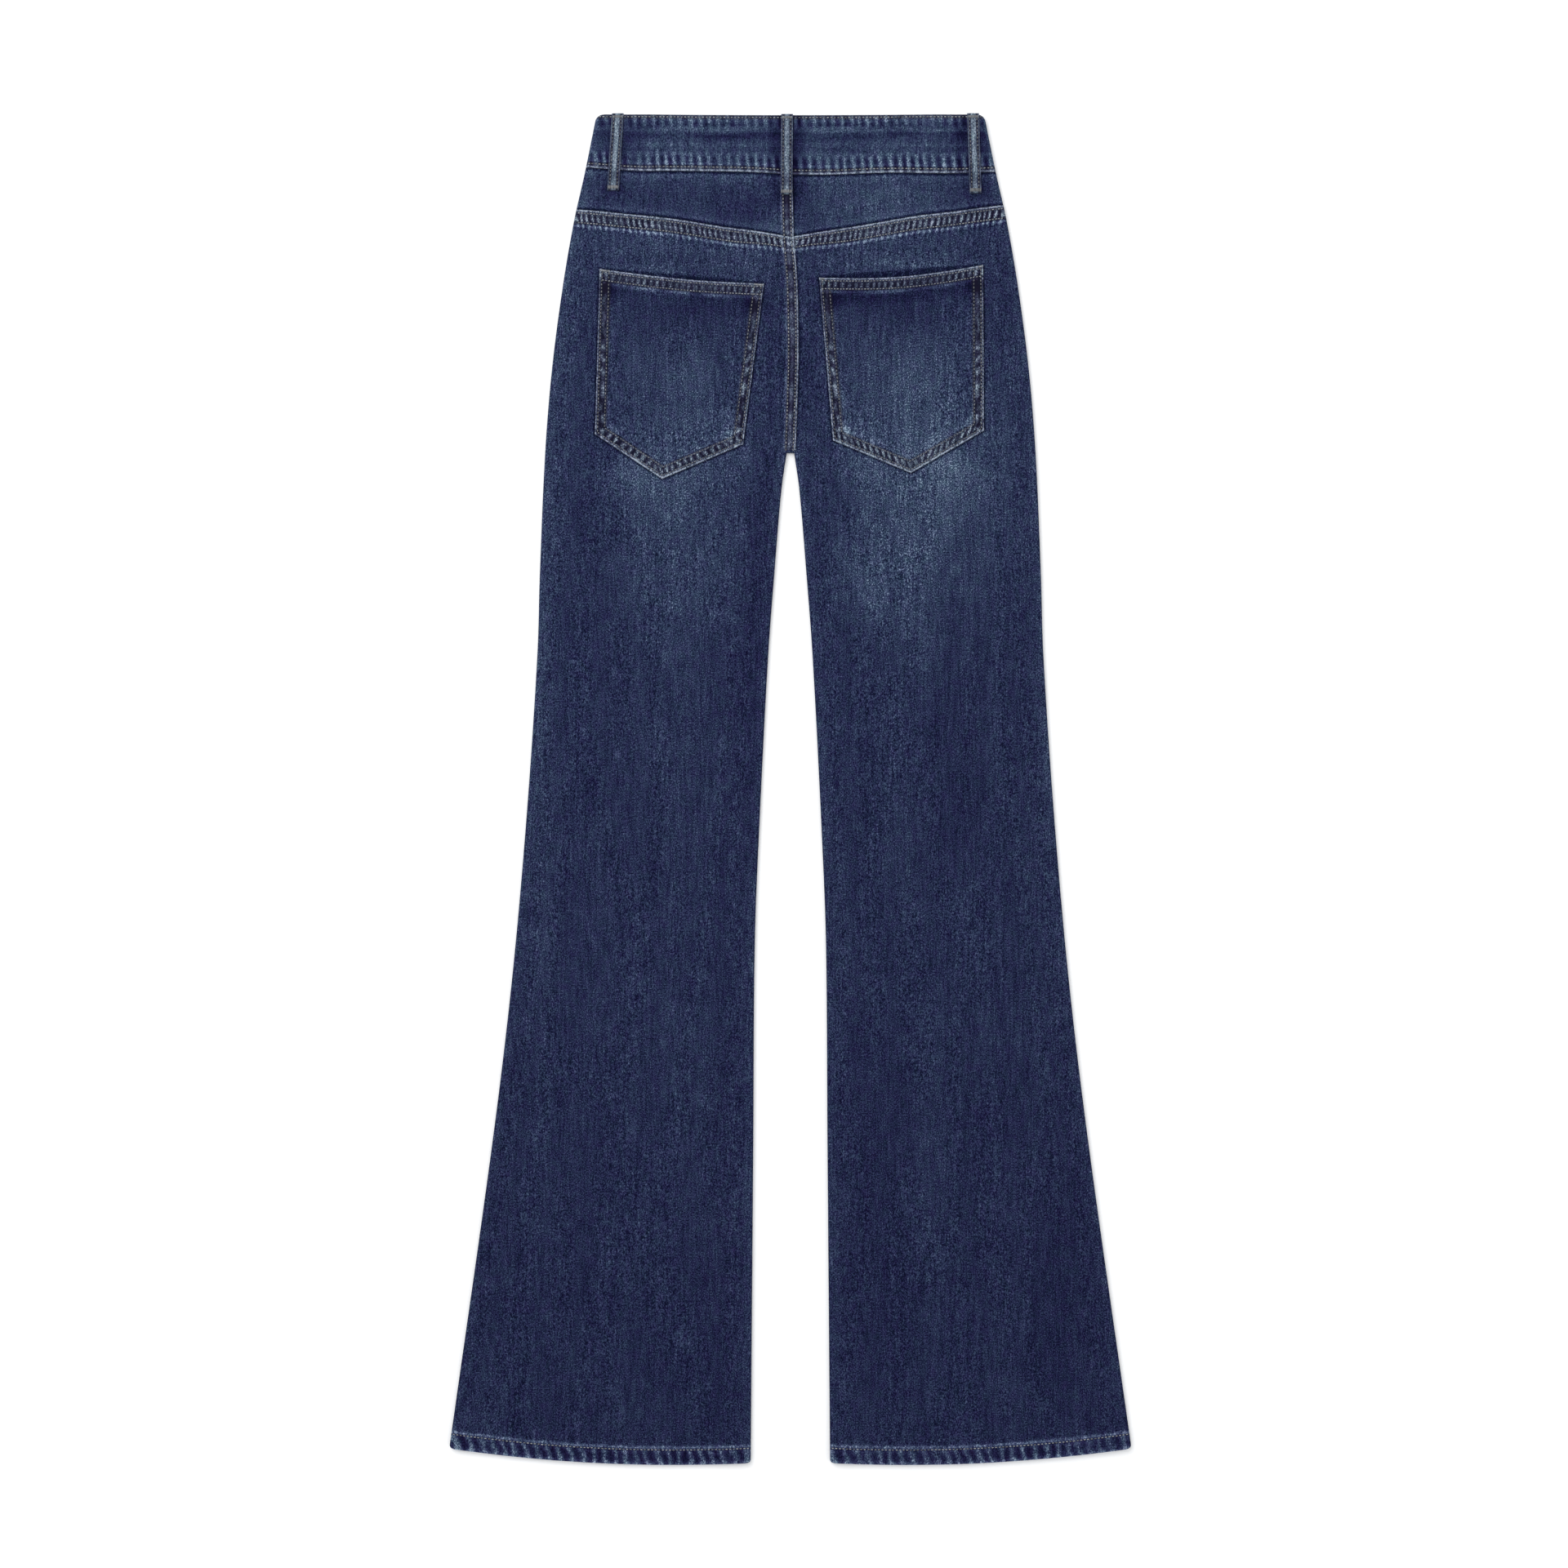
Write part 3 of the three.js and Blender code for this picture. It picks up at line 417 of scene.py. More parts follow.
class Wall:
    """Nodes with an outer and an inner point, joined by faces into one closed wall of cloth."""

    def __init__(self):
        self.outer, self.inner, self.fade, self.edges, self.faces = [], [], [], [], []
        self.count = 0

    def nodes(self, x, drop, outer, inner, fade, edges=()):
        """Adds nodes and returns their numbers, in the shape that x has. Edges are distances."""
        x, drop, outer, inner, fade = np.broadcast_arrays(x, drop, outer, inner, fade)
        return self._keep(
            np.stack([x, TOP_Y - drop, outer], -1), np.stack([x, TOP_Y - drop, inner], -1), fade, edges
        )

    def _keep(self, outer, inner, fade, edges):
        shape = outer.shape[:-1]
        far = [np.broadcast_to(edge, shape) for edge in edges]
        far += [np.full(shape, FAR)] * (3 - len(far))
        self.outer.append(outer.reshape(-1, 3))
        self.inner.append(inner.reshape(-1, 3))
        self.fade.append(np.broadcast_to(fade, shape).ravel())
        self.edges.append(np.clip(np.stack(far, -1), -FAR, FAR).reshape(-1, 3))
        size = int(np.prod(shape))
        numbers = np.arange(self.count, self.count + size).reshape(shape)
        self.count += size
        return numbers

    def roll(self, edge, out, heights, wall, degrees, fade, edges=(), drop_at=None):
        """Nodes round a fold. Edge and out are (x, drop) and (x, y) pairs, heights (low, high)."""
        angle = np.radians(np.asarray(degrees, float))
        edge_x, edge_drop, out_x, out_y = (np.asarray(v, float)[..., None] for v in (*edge, *out))
        low, high, wall = (np.asarray(v, float)[..., None] for v in (*heights, wall))
        radius = (high - low) / 2

        def at(reach):
            back = radius - reach * np.cos(angle)
            x = edge_x - out_x * back
            drop = drop_at(x) if drop_at else edge_drop + out_y * back
            z = (low + high) / 2 + reach * np.sin(angle)
            return np.stack(np.broadcast_arrays(x, TOP_Y - drop, z), -1)

        outer, inner = at(radius), at(radius - wall)
        spread = np.broadcast_to(np.asarray(fade, float)[..., None], outer.shape[:-1])
        return self._keep(outer, inner, spread, [np.asarray(e, float)[..., None] for e in edges])

    def grid(self, ids):
        a, b, c, d = ids[:-1, :-1], ids[:-1, 1:], ids[1:, 1:], ids[1:, :-1]
        self.faces.append(np.stack([a, b, c, d], -1).reshape(-1, 4))

    def strip(self, upper, lower):
        self.grid(np.stack([np.asarray(upper), np.asarray(lower)]))

    def blend(self, upper, lower):
        """Joins a row to one that has half as many steps; either may be the finer one."""
        fine, coarse, flip = (upper, lower, False) if len(upper) > len(lower) else (lower, upper, True)
        for k in range(len(coarse) - 1):
            f0, f1, f2 = fine[2 * k : 2 * k + 3]
            c0, c1 = coarse[k : k + 2]
            for tri in ((f0, f1, c0), (f1, f2, c1), (f1, c1, c0)):
                order = tri[::-1] if flip else tri
                self.faces.append(np.array([[*order, order[2]]]))

    def mesh(self, name):
        """The closed mesh, in metres, with its paleness and painted shade, seam distances and inside as
        attributes.
        """
        count = self.count
        outer, inner = np.vstack(self.outer), np.vstack(self.inner)
        quads = np.vstack(self.faces)
        ends = np.roll(quads, -1, axis=1)
        a, b = quads.ravel(), ends.ravel()
        kept = a != b
        a, b = a[kept], b[kept]
        key, back = a.astype(np.int64) * count + b, b.astype(np.int64) * count + a
        free = ~np.isin(key, back)
        a, b = a[free], b[free]
        rim = np.stack([b, a, a + count, b + count], -1)
        polygons = np.vstack([quads, quads[:, ::-1] + count, rim])
        points = np.vstack([outer, inner])
        volume = 0
        for corners in ([0, 1, 2], [0, 2, 3]):
            a, b, c = (points[polygons[:, corner]] for corner in corners)
            volume += np.einsum("ij,ij->i", a, np.cross(b, c)).sum()
        if volume < 0:
            polygons = polygons[:, ::-1]
        faces = [tuple(dict.fromkeys(p)) for p in polygons.tolist()]
        mesh = bpy.data.meshes.new(name)
        mesh.from_pydata((points * MM).tolist(), [], faces)
        store(mesh, "fade", np.concatenate(self.fade * 2))
        store(mesh, "inside", np.repeat([0.0, 1.0], count))
        store(mesh, "edges", np.vstack(self.edges * 2), "FLOAT_VECTOR", "vector")
        mesh.update()
        return mesh


def store(mesh, name, values, kind="FLOAT", key="value"):
    """Keeps values, one for each point of a mesh, as an attribute."""
    attribute = mesh.attributes.new(name, kind, "POINT")
    attribute.data.foreach_set(key, np.ascontiguousarray(values, np.float32).ravel())


def deselect_all():
    bpy.ops.object.select_all(action="DESELECT")


def selected_object(name, mesh):
    """A new object of this mesh, which is the only selected one."""
    piece = bpy.data.objects.new(name, mesh)
    bpy.context.collection.objects.link(piece)
    deselect_all()
    piece.select_set(True)
    bpy.context.view_layer.objects.active = piece
    return piece


CREASE_DEGREES = 50              # cloth that turns by more than this looks creased


def finish_cloth(wall, name, node, material, flat):
    """Makes a wall of cloth the piece that stands for its CAD node."""
    piece = selected_object(name, wall.mesh(name))
    bpy.ops.object.shade_smooth_by_angle(angle=math.radians(CREASE_DEGREES))
    piece.data.materials.append(material)
    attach(piece, "root")
    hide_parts(node)
    return piece


# ---- legs and yokes -----------------------------------------------------------------------------

LAP_STOPS = (0, 0.35, 0.8, 1.5, 2.5, 3.8, 5.4, 7.0, 8.6, 9.6)
BUTT_STOPS = (0, 1.5, 3.2)


class Panel:
    """One panel between the centre seam and a side fold, built row by row across the leg.

    A row is (share of the top edge, share of the lower edge, drop, share of the flare, distance from
    the top seam). Above the crotch it starts at the centre seam, and below it with the inside roll.
    """

    def __init__(self, side, is_back, top, end=None):
        self.side, self.is_back = side, is_back
        self.laps = side == LEFT
        self.is_leg = end is None
        self.top, self.end = top, end or hem_drop
        self.laps_top = is_back and self.is_leg
        self.stops = np.array(LAP_STOPS if self.laps else BUTT_STOPS)
        fold = side * (inside_across(CROTCH_DROP) + FOLD_HEIGHT / 2)
        self.crotch_reach = abs(fold - self.seam(CROTCH_DROP))
        self.wall = Wall()
        self.last = None

    def seam(self, drop):
        return (seat_across(drop) if self.is_back else fly_across(drop)) + (0 if self.laps else SEW_GAP)

    def seam_stops(self, drop):
        """Where the columns beside the centre seam stand, which ends above the inside leg's fold."""
        near = smooth((drop - CROTCH_DROP + 34) / 28)
        if not self.laps:
            return self.stops * lerp(1, self.crotch_reach / self.stops[-1], near)
        last = lerp(self.stops[-1], self.crotch_reach, near)
        others = self.stops[:-1]
        return np.concatenate([np.broadcast_to(others, (*last.shape[:-1], len(others))), last], -1)

    def from_hem(self, x, drop):
        return hem_drop(x) - drop if self.is_leg else np.full(np.shape(drop), FAR)

    def facing(self, x, drop, from_seat, from_top):
        """(outer height, inner height, paleness with its painted shade, seam distances) of the cloth at a
        place.
        """
        from_hem = self.from_hem(x, drop)
        from_lap = from_seat if self.laps else np.full(np.shape(from_seat), FAR)
        rise = seam_rise(from_top if self.laps_top else FAR, from_lap, from_hem, drop)
        from_yoke = from_top if self.is_leg else drop - yoke_drop(x)
        ropes, pale = seam_ropes(x, drop, from_yoke if self.is_back else FAR, from_hem)
        worn_band = between(from_lap, 3.6, 6.8, 0.9) * (0.26 * cloud(0, drop, 1, 5, 45) - 0.04)
        worn_band = worn_band - 0.11 * between(from_lap, 3.5, 9.2, 1)
        # washed holds the painted shade of some patches as well as the wash.
        washed = wash(x, drop, WASH_AND_SHADE_PATCHES if self.is_back else FRONT_WASH)
        fade = washed + pale + worn_band + 0.05 * plateau(from_outline(x, drop), 1, 7)
        edges = (from_top if self.laps_top else FAR, from_seat, from_hem)
        if not self.is_leg:
            edges = (drop - self.top(x), from_seat, self.end(x) - drop)
        if self.is_back:
            laid = back_height(x, drop) + rumple(x, drop)
            seams = fold_round(from_lap) + (fold_round(from_top) if self.laps_top else 0)
            return laid + rise + ropes - seams, laid - CLOTH, fade, edges
        laid = front_height(x, drop)
        step = 0
        if not self.laps:
            step = SEAM_RISE * plateau(from_seat, 2, 16) * plateau(drop, CROTCH_DROP - 40, CROTCH_DROP - 12)
            rise = rise * (1 - step)
        return laid + step, laid + step + CLOTH + rise, fade, edges

    def roll(self, edge, out, from_top, drop_at=None):
        radius = FOLD_HEIGHT / 2
        x, drop = edge[0] - out[0] * radius, edge[1] + out[1] * radius
        outer, inner, fade, edges = self.facing(x, drop, np.full(np.shape(x), FAR), from_top)
        if self.is_back:
            heights = front_height(x, drop), outer
        else:
            hem = HEM_RISE * plateau(self.from_hem(x, drop), HEM_DEPTH - HEM_RAMP, HEM_DEPTH)
            heights = outer, back_height(x, drop) + hem
        degrees = BACK_ROLL if self.is_back else FRONT_ROLL
        edges = [np.broadcast_to(edge, np.shape(x)) for edge in edges]
        return self.wall.roll(edge, out, heights, np.abs(outer - inner), degrees, fade, edges, drop_at)

    def block(self, rows, columns, below):
        """Adds a block of rows with so many columns, and joins it to the last one."""
        rows = np.array(rows, float)
        side = self.side

        def drop_at(x):
            a, b, c, d = (rows[:, k : k + 1] for k in range(4))
            return a * self.top(x) + b * self.end(x) + c + d * flare(x)

        def settle(across_at, width):
            x = np.full((len(rows), width), side * 100.0)
            for _ in range(6):
                x = across_at(x, drop_at(x))
            return x, drop_at(x)

        def top_distance(x, drop):
            return np.where(rows[:, 4:] < FAR, rows[:, 4:] + 0 * x, drop - self.top(x) - flare(x))

        def side_edge(x, drop):
            return side * (side_across(drop) - corner_inset(self.from_hem(x, drop), HEM_CORNER))

        def inside_edge(x, drop):
            return side * (inside_across(drop) + corner_inset(self.from_hem(x, drop), HEM_INNER_CORNER))

        def start(x, drop):
            if below:
                return inside_edge(x, drop)[:, :1] + side * ROLL_REACH
            return (self.seam(drop) + side * self.seam_stops(drop[:, :1])[:, -1:])[:, :1]

        def flat_across(x, drop):
            # Each row's first column is kept on its own drop, so that the row starts on the seam.
            first = start(x, drop)
            last = side_edge(x, drop)[:, -1:] - side * ROLL_REACH
            return lerp(first, last, np.linspace(0, 1, columns + 1))

        def seam_across(x, drop):
            return self.seam(drop) + side * self.seam_stops(drop[:, :1])[:, :-1]

        made = {"below": below}
        x, drop = settle(flat_across, columns + 1)
        from_seat = np.where(drop < CROTCH_DROP, np.abs(x - self.seam(drop)), FAR)
        made["flat"] = self.flat_nodes(x, drop, from_seat, top_distance(x, drop))
        made["flat_x"] = x
        x, drop = settle(side_edge, 1)
        made["outer"] = self.roll((x[:, 0], drop[:, 0]), (side, 0), top_distance(x, drop)[:, 0], drop_at)
        if below:
            x, drop = settle(inside_edge, 1)
            inner = self.roll((x[:, 0], drop[:, 0]), (-side, 0), top_distance(x, drop)[:, 0], drop_at)
            made["head"] = inner[:, ::-1]
        else:
            x, drop = settle(seam_across, len(self.stops) - 1)
            from_seat = np.broadcast_to(self.stops[:-1], x.shape)
            made["head"] = self.flat_nodes(x, drop, from_seat, top_distance(x, drop))
            made["head_x"] = x
        self.wall.grid(np.concatenate([made["head"], made["flat"], made["outer"]], 1))
        if self.last:
            self.join(self.last, made)
        self.last = made

    def flat_nodes(self, x, drop, from_seat, from_top):
        outer, inner, fade, edges = self.facing(x, drop, from_seat, from_top)
        return self.wall.nodes(x, drop, outer, inner, fade, edges)

    def join(self, before, after):
        flat, next_flat = before["flat"][-1], after["flat"][0]
        join_flat = self.wall.strip if len(flat) == len(next_flat) else self.wall.blend
        join_flat(flat, next_flat)
        self.wall.strip([flat[-1], *before["outer"][-1]], [next_flat[-1], *after["outer"][0]])
        head = before["head"][-1]
        if after["below"] and not before["below"]:
            head = self.crotch(before)
        self.wall.strip([*head, flat[0]], [*after["head"][0], next_flat[0]])

    def crotch(self, before):
        """Hangs a roll from the last row above the crotch, and mitres it into the inside leg's."""
        nodes = [*before["head"][-1], before["flat"][-1][0]]
        x = np.array([*before["head_x"][-1], before["flat_x"][-1][0]])
        mitre = np.zeros(len(x))
        mitre[-1] = -self.side
        edge = x + mitre * FOLD_HEIGHT / 2, np.full(len(x), float(CROTCH_DROP))
        rolled = self.roll(edge, (mitre, np.full(len(x), -1.0)), np.full(len(x), FAR))
        hung = np.column_stack([nodes, rolled])
        for i in range(1, len(hung)):
            self.wall.strip(hung[i], hung[i - 1])
        return hung[-1][:0:-1]


def seam_rows(stops):
    """Rows beside a lapped top seam, whose band is deeper towards the sides."""
    return [(1, 0, stop, float(smooth((stop - 2) / 4)), stop) for stop in stops]


def rows_between(first, last, count):
    """Evenly spaced rows, away from the top seam."""
    first, last = np.array(first, float), np.array(last, float)
    return [(*lerp(first, last, k / count), FAR) for k in range(count + 1)]


SEAM_STOPS = (0, 0.3, 0.7, 1.2, 1.9, 2.8, 3.8, 4.8, 5.8, 6.8, 7.8, 8.7, 9.5, 10.4, 11.6, 13.2, 15.4)
HEM_STOPS = (
    24, 21.5, 19.4, 17.6, 16.3, 15.4, 14.6, 13.6, 12.4, 11, 9.5, 8, 6.5, 5, 3.6, 2.4, 1.5, 0.8, 0.3, 0,
)
ROLL_ROW = CROTCH_DROP - FOLD_HEIGHT / 2
FIRST_LEG = CROTCH_DROP + 3
BACK_COLUMNS, FRONT_COLUMNS = 72, 30  # across a leg; seams and hems have two or four times as many


def leg_panel(side, is_back):
    top = yoke_drop if is_back else (lambda x: front_band_end(x) + 1.5 * SEW_GAP)
    panel = Panel(side, is_back, top)
    lower_start, lower_end = (0, 0, FIRST_LEG, 0), (0, 1, -HEM_STOPS[0] - 3, 0)
    hem = [(0, 1, -stop, 0, FAR) for stop in HEM_STOPS]
    if is_back:
        under_seam = rows_between((1, 0, SEAM_STOPS[-1] + 3, 1), (0, 0, ROLL_ROW, 0), 38)
        panel.block(seam_rows(SEAM_STOPS), 4 * BACK_COLUMNS, False)
        panel.block(under_seam, 2 * BACK_COLUMNS, False)
        panel.block(rows_between(lower_start, lower_end, 160), BACK_COLUMNS, True)
        panel.block([(0, 1, -HEM_STOPS[0] - 1.2, 0, FAR)], 2 * BACK_COLUMNS, True)
        panel.block(hem, 4 * BACK_COLUMNS, True)
    else:
        panel.block(rows_between((1, 0, 0, 0), (0, 0, ROLL_ROW, 0), 22), FRONT_COLUMNS, False)
        panel.block(rows_between(lower_start, lower_end, 90), FRONT_COLUMNS, True)
        panel.block(hem[::2] + hem[-1:], 2 * FRONT_COLUMNS, True)
    return panel.wall


def yoke_panel(side):
    panel = Panel(side, True, lambda x: back_band_end(x) + SEW_GAP, lambda x: yoke_drop(x) - SEW_GAP)
    panel.block(rows_between((1, 0, 0, 0), (0, 1, 0, 0), 24), 96, False)
    return panel.wall


# ---- waistband ----------------------------------------------------------------------------------

BAND_CREASES = (  # distance from the top, half width, how much paler
    (9.0, 1.5, -0.12), (12.6, 2.2, 0.14), (17.2, 2.2, -0.20), (21.0, 3.4, -0.08), (24.6, 1.5, 0.06),
    (29.5, 1.8, -0.09), (33.4, 2.4, 0.06),
)
# Painted shade on the waistband beside each back belt loop: the loop, and how dark.
LOOP_SHADE_ON_BAND = (("loop_back_left", 0.12), ("loop_back_centre", 0.22), ("loop_back_right", 0.17))  # how dark
BACK_STEPS, LEFT_STEPS, RIGHT_STEPS = 392, 52, 48  # along the back and along the two front ends
NEAR_TOP = (0, 0.25, 0.6, 1.0, 1.6, 2.3, 3.2, 4.4, 6)
NEAR_END = (5.6, 4.4, 3.4, 2.6, 1.9, 1.2, 0.7, 0.3, 0)
BETWEEN_ROWS = 15


def band_relief(x, from_top, from_end):
    """(height, paleness) of the waistband's puckers and of the creases along it, with painted shade beside
    the back belt loops.
    """
    low = rope(x, from_end, 7.5, 0.12, 0.2, 51) * between(from_end, 5.0, 10.0, 8)
    high = rope(x, from_top, 7.8, -0.1, 0.2, 54) * between(from_top, 3.6, 7, 6)
    crease = 0
    for k, (place, wide, amount) in enumerate(BAND_CREASES):
        wander = 2.4 * cloud(x, 0.5, 30, 1, 56 + k)
        there = 0.9 + 0.7 * cloud(x, 0.5, 24, 1, 66 + k)
        crease = crease + amount * there * np.exp(-(((from_top - place - wander) / wide) ** 2))
    sides = smooth((HALF_WAIST - np.abs(x)) / 12)
    # painted shade beside the back belt loops
    beside = sum(dark * plateau(np.abs(x - LOOPS[name][0]), 9, 19) for name, dark in LOOP_SHADE_ON_BAND)
    pale = 0.42 * low + 0.28 * high + crease - beside
    return (0.24 * low + 0.12 * high + 0.9 * crease) * sides, pale


def waistband_wall():
    """One strip from the front end on the left, round the back, to the front end on the right."""
    wall = Wall()
    rows = [(1, 0, stop) for stop in NEAR_TOP]
    for k in range(1, BETWEEN_ROWS):
        t = k / BETWEEN_ROWS
        rows.append((1 - t, t, (1 - t) * NEAR_TOP[-1] - t * NEAR_END[0]))
    rows = np.array(rows + [(0, 1, -stop) for stop in NEAR_END], float)
    a, b, c = (rows[:, k : k + 1] for k in range(3))

    def back_drop(x):
        return a * back_top(x) + b * back_band_end(x) + c

    def front_drop(x):
        return a * (back_top(x) + front_dip(x)) + b * front_band_end(x) + c

    def edge_x(side):
        edge = np.full((len(rows), 1), side * HALF_WAIST)
        for _ in range(3):
            drop = back_drop(edge)
            edge = side * (side_across(drop) - corner_inset(drop - back_top(edge), BAND_CORNER))
        return edge

    def rounding(from_top):
        return BAND_ROUND * (1 - smooth(from_top / 2.6))

    def back_nodes(x):
        drop = back_drop(x)
        from_top, from_end = drop - back_top(x), back_band_end(x) - drop
        top_round = rounding(from_top)
        height, pale = band_relief(x, from_top, from_end)
        z = propped(x, drop) + BAND_FOLD - top_round
        inner = z - (BAND_WALL - 1.5 * top_round)
        outer = z + height - fold_round(from_end, 0.8)
        return wall.nodes(x, drop, outer, inner, wash(x, drop) + pale, (from_top, FAR, from_end))

    def front_nodes(x):
        drop = front_drop(x)
        from_top, from_end = drop - (back_top(x) + front_dip(x)), front_band_end(x) - drop
        top_round = rounding(from_top)
        step = FRONT_END_STEP * plateau(x - FLY_EDGE, 2, 18) * (x > FLY_EDGE + 0.1)
        z = propped(x, drop) + step + top_round
        pale = wash(x, drop, FRONT_WASH) + 0.12 * rope(x, 0, 7, 0, 0.2, 59) * between(from_end, 3, 12, 6)
        inner = z + (BAND_WALL - 1.5 * top_round)
        return wall.nodes(x, drop, z, inner, pale, (from_top, FAR, from_end))

    def turn(side):
        edge = edge_x(side)[:, 0]
        drop = back_drop(edge[:, None])[:, 0]
        from_top, from_end = drop - back_top(edge), back_band_end(edge) - drop
        top_round = rounding(from_top)
        thick = BAND_WALL - 1.5 * top_round
        edges = (from_top, np.full(len(edge), FAR), from_end)
        fade = wash(edge, drop) + 0.04
        heights = top_round, BAND_FOLD - top_round
        return wall.roll((edge, 0 * edge), (side, 0), heights, thick, BAND_TURN, fade, edges, back_drop)

    def across(start, finish, count):
        return lerp(start, finish, np.linspace(0, 1, count + 1))

    left, right = (edge_x(side) - side * (BAND_FOLD / 2 + 0.1) for side in SIDES)
    wall.grid(np.concatenate([
        front_nodes(across(np.full((len(rows), 1), FLY_EDGE), left, LEFT_STEPS)),
        turn(LEFT)[:, ::-1],
        back_nodes(across(left, right, BACK_STEPS)),
        turn(RIGHT),
        front_nodes(across(right, np.full((len(rows), 1), FLY_EDGE + SEW_GAP), RIGHT_STEPS)),
    ], 1))
    return wall


# ---- patch pockets ------------------------------------------------------------------------------

POCKET_EDGE = (0, 0.3, 0.7, 1.2, 1.9, 2.8, 3.9, 5.1, 6.3, 7.3, 8.1, 8.8, 9.7, 11)
POCKET_COLUMNS, POCKET_LINES = 108, 104  # steps across and down, within its edges
POCKET_LIFT = 0.25               # clearance between a pocket and the leg under it


def need(*names):
    """The pieces of these names, which other operators make first."""
    missing = [name for name in names if name not in bpy.data.objects]
    if missing:
        raise RuntimeError("make these pieces first: " + ", ".join(missing))
    return list(names)


def surface_of(*names):
    """A tree of these pieces' faces, for laying things on them."""
    points, polygons = [], []
    for name in need(*names):
        mesh = bpy.data.objects[name].data
        first = len(points)
        points += [vertex.co.copy() for vertex in mesh.vertices]
        polygons += [[first + i for i in face.vertices] for face in mesh.polygons]
    return BVHTree.FromPolygons(points, polygons)


def height_on(surface, x, drop, up=True):
    """Height, in millimetres, of a surface at a place, seen from above or from below."""
    origin = Vector((x * MM, (TOP_Y - drop) * MM, 0.1 if up else -0.1))
    hit = surface.ray_cast(origin, Vector((0, 0, -1 if up else 1)))
    return hit[0].z / MM if hit[0] is not None else None


def line_distance(x, drop, start, finish):
    """Distance from the line through two points."""
    along_x, along_drop = finish[0] - start[0], finish[1] - start[1]
    length = math.hypot(along_x, along_drop)
    return np.abs((x - start[0]) * along_drop - (drop - start[1]) * along_x) / length


def corners_of(pocket):
    """A pocket's five corners, from its outer top one round to its inner top one."""
    return [np.array(pocket[key]) for key in POCKET_CORNERS]


def pocket_distances(pocket, x, drop, u):
    """Distances from the mouth, from the nearer side and from the nearer lower edge."""
    outer_top, outer_base, tip, inner_base, inner_top = corners_of(pocket)
    mouth = line_distance(x, drop, outer_top, inner_top) - pocket["sag"] * np.sin(np.pi * u)
    side = np.minimum(
        line_distance(x, drop, outer_top, outer_base), line_distance(x, drop, inner_top, inner_base)
    )
    base = np.minimum(line_distance(x, drop, outer_base, tip), line_distance(x, drop, tip, inner_base))
    return np.maximum(mouth, 0), side, base


def pocket_wash(x, drop, u, mouth, side, base):
    """(paleness, height) of a pocket: puckers along its folded edges, and wear at its corners."""
    mouth_rope = rope(x, mouth, 5.3, 0.1, 0.1, 71) * between(mouth, 4.0, 7.8, 0.6)
    base_rope = rope(x, base, 5.3, 0.5 * np.sign(u - 0.4), 0.1, 74) * between(base, 3.6, 7.6, 0.6)
    spots = cloud(side, drop, 3.4, 3.6, 77) + 0.5 * cloud(side, drop, 9, 11, 76)
    side_rope = spots * between(side, 3.3, 6.6, 0.6)
    corner = np.exp(-((np.hypot(side - 11, base - 12) / 5) ** 2)) * (0.7 + 0.6 * cloud(x, drop, 5, 8, 78))
    under_mouth = between(mouth, 10.4, 12.4, 1.4) * cloud(x, drop, 13, 30, 79)
    top_corner = between(side, 1, 9, 1.5) * between(mouth, 1, 9.5, 1.5)
    shade = np.exp(-((np.hypot(side - 6.5, mouth - 17) / 8.5) ** 2))
    right = 0.5 + 0.5 * np.sign(x)
    pale = (
        (0.42 + 0.04 * right) * mouth_rope + 0.52 * base_rope + 0.50 * side_rope + 0.22 * corner
        + 0.16 * under_mouth + 0.20 * top_corner - 0.28 * shade
        - right * (0.07 * between(mouth, 2, 20, 4) - 0.04 * between(side, 0, 12, 3))
    )
    relief = 0.20 * mouth_rope + 0.22 * base_rope + 0.10 * side_rope
    return pale, relief


def pocket_wall(name, leg_surface):
    """A five-sided pocket that follows the leg it is sewn to."""
    pocket = POCKETS[name]
    outer_top, outer_base, tip, inner_base, inner_top = corners_of(pocket)
    width, depth = abs(outer_top[0] - inner_top[0]), tip[1] - outer_top[1]
    tip_at = (tip[0] - outer_base[0]) / (inner_base[0] - outer_base[0])

    def stops(size, count, through):
        edge = np.array(POCKET_EDGE) / size
        before = np.linspace(edge[-1], through, int(count * through))
        after = np.linspace(through, 1 - edge[-1], count - int(count * through))[1:]
        return np.concatenate([edge[:-1], before, after, 1 - edge[-2::-1]])

    u, v = np.meshgrid(stops(width, POCKET_COLUMNS, tip_at), stops(depth, POCKET_LINES, 0.5))
    mouth_x, mouth_drop = (lerp(outer_top[k], inner_top[k], u) for k in (0, 1))
    mouth_drop = mouth_drop + pocket["sag"] * np.sin(np.pi * u)
    low, high = np.clip(u / tip_at, 0, 1), np.clip((u - tip_at) / (1 - tip_at), 0, 1)
    base_x, base_drop = (
        np.where(u <= tip_at, lerp(outer_base[k], tip[k], low), lerp(tip[k], inner_base[k], high))
        for k in (0, 1)
    )
    x, drop = lerp(mouth_x, base_x, v), lerp(mouth_drop, base_drop, v)
    mouth, side, base = pocket_distances(pocket, x, drop, u)
    margin = plateau(np.minimum(np.minimum(mouth, side), base), POCKET_MARGIN, POCKET_MARGIN + 0.8)
    margin = np.maximum(margin, plateau(mouth, POCKET_MARGIN + 0.9, POCKET_MARGIN + 1.7))
    pale, relief = pocket_wash(x, drop, u, mouth, side, base)
    puff = POCKET_PUFF * np.sin(np.pi * u) * np.sin(np.pi * v)
    gape = POCKET_MOUTH * np.sin(np.pi * u) * plateau(v, 0, 0.3)
    laid = np.vectorize(lambda x, drop: height_on(leg_surface, float(x), float(drop)))(x, drop)
    under = laid + POCKET_LIFT + puff + gape
    rounding = sum(fold_round(edge, 0.8) for edge in (mouth, side, base))
    outer = under + CLOTH + POCKET_RISE * margin + relief - rounding
    wall = Wall()
    wall.grid(wall.nodes(x, drop, outer, under, wash(x, drop) + pale, (mouth, side, base)))
    return wall


# ---- belt loops ---------------------------------------------------------------------------------

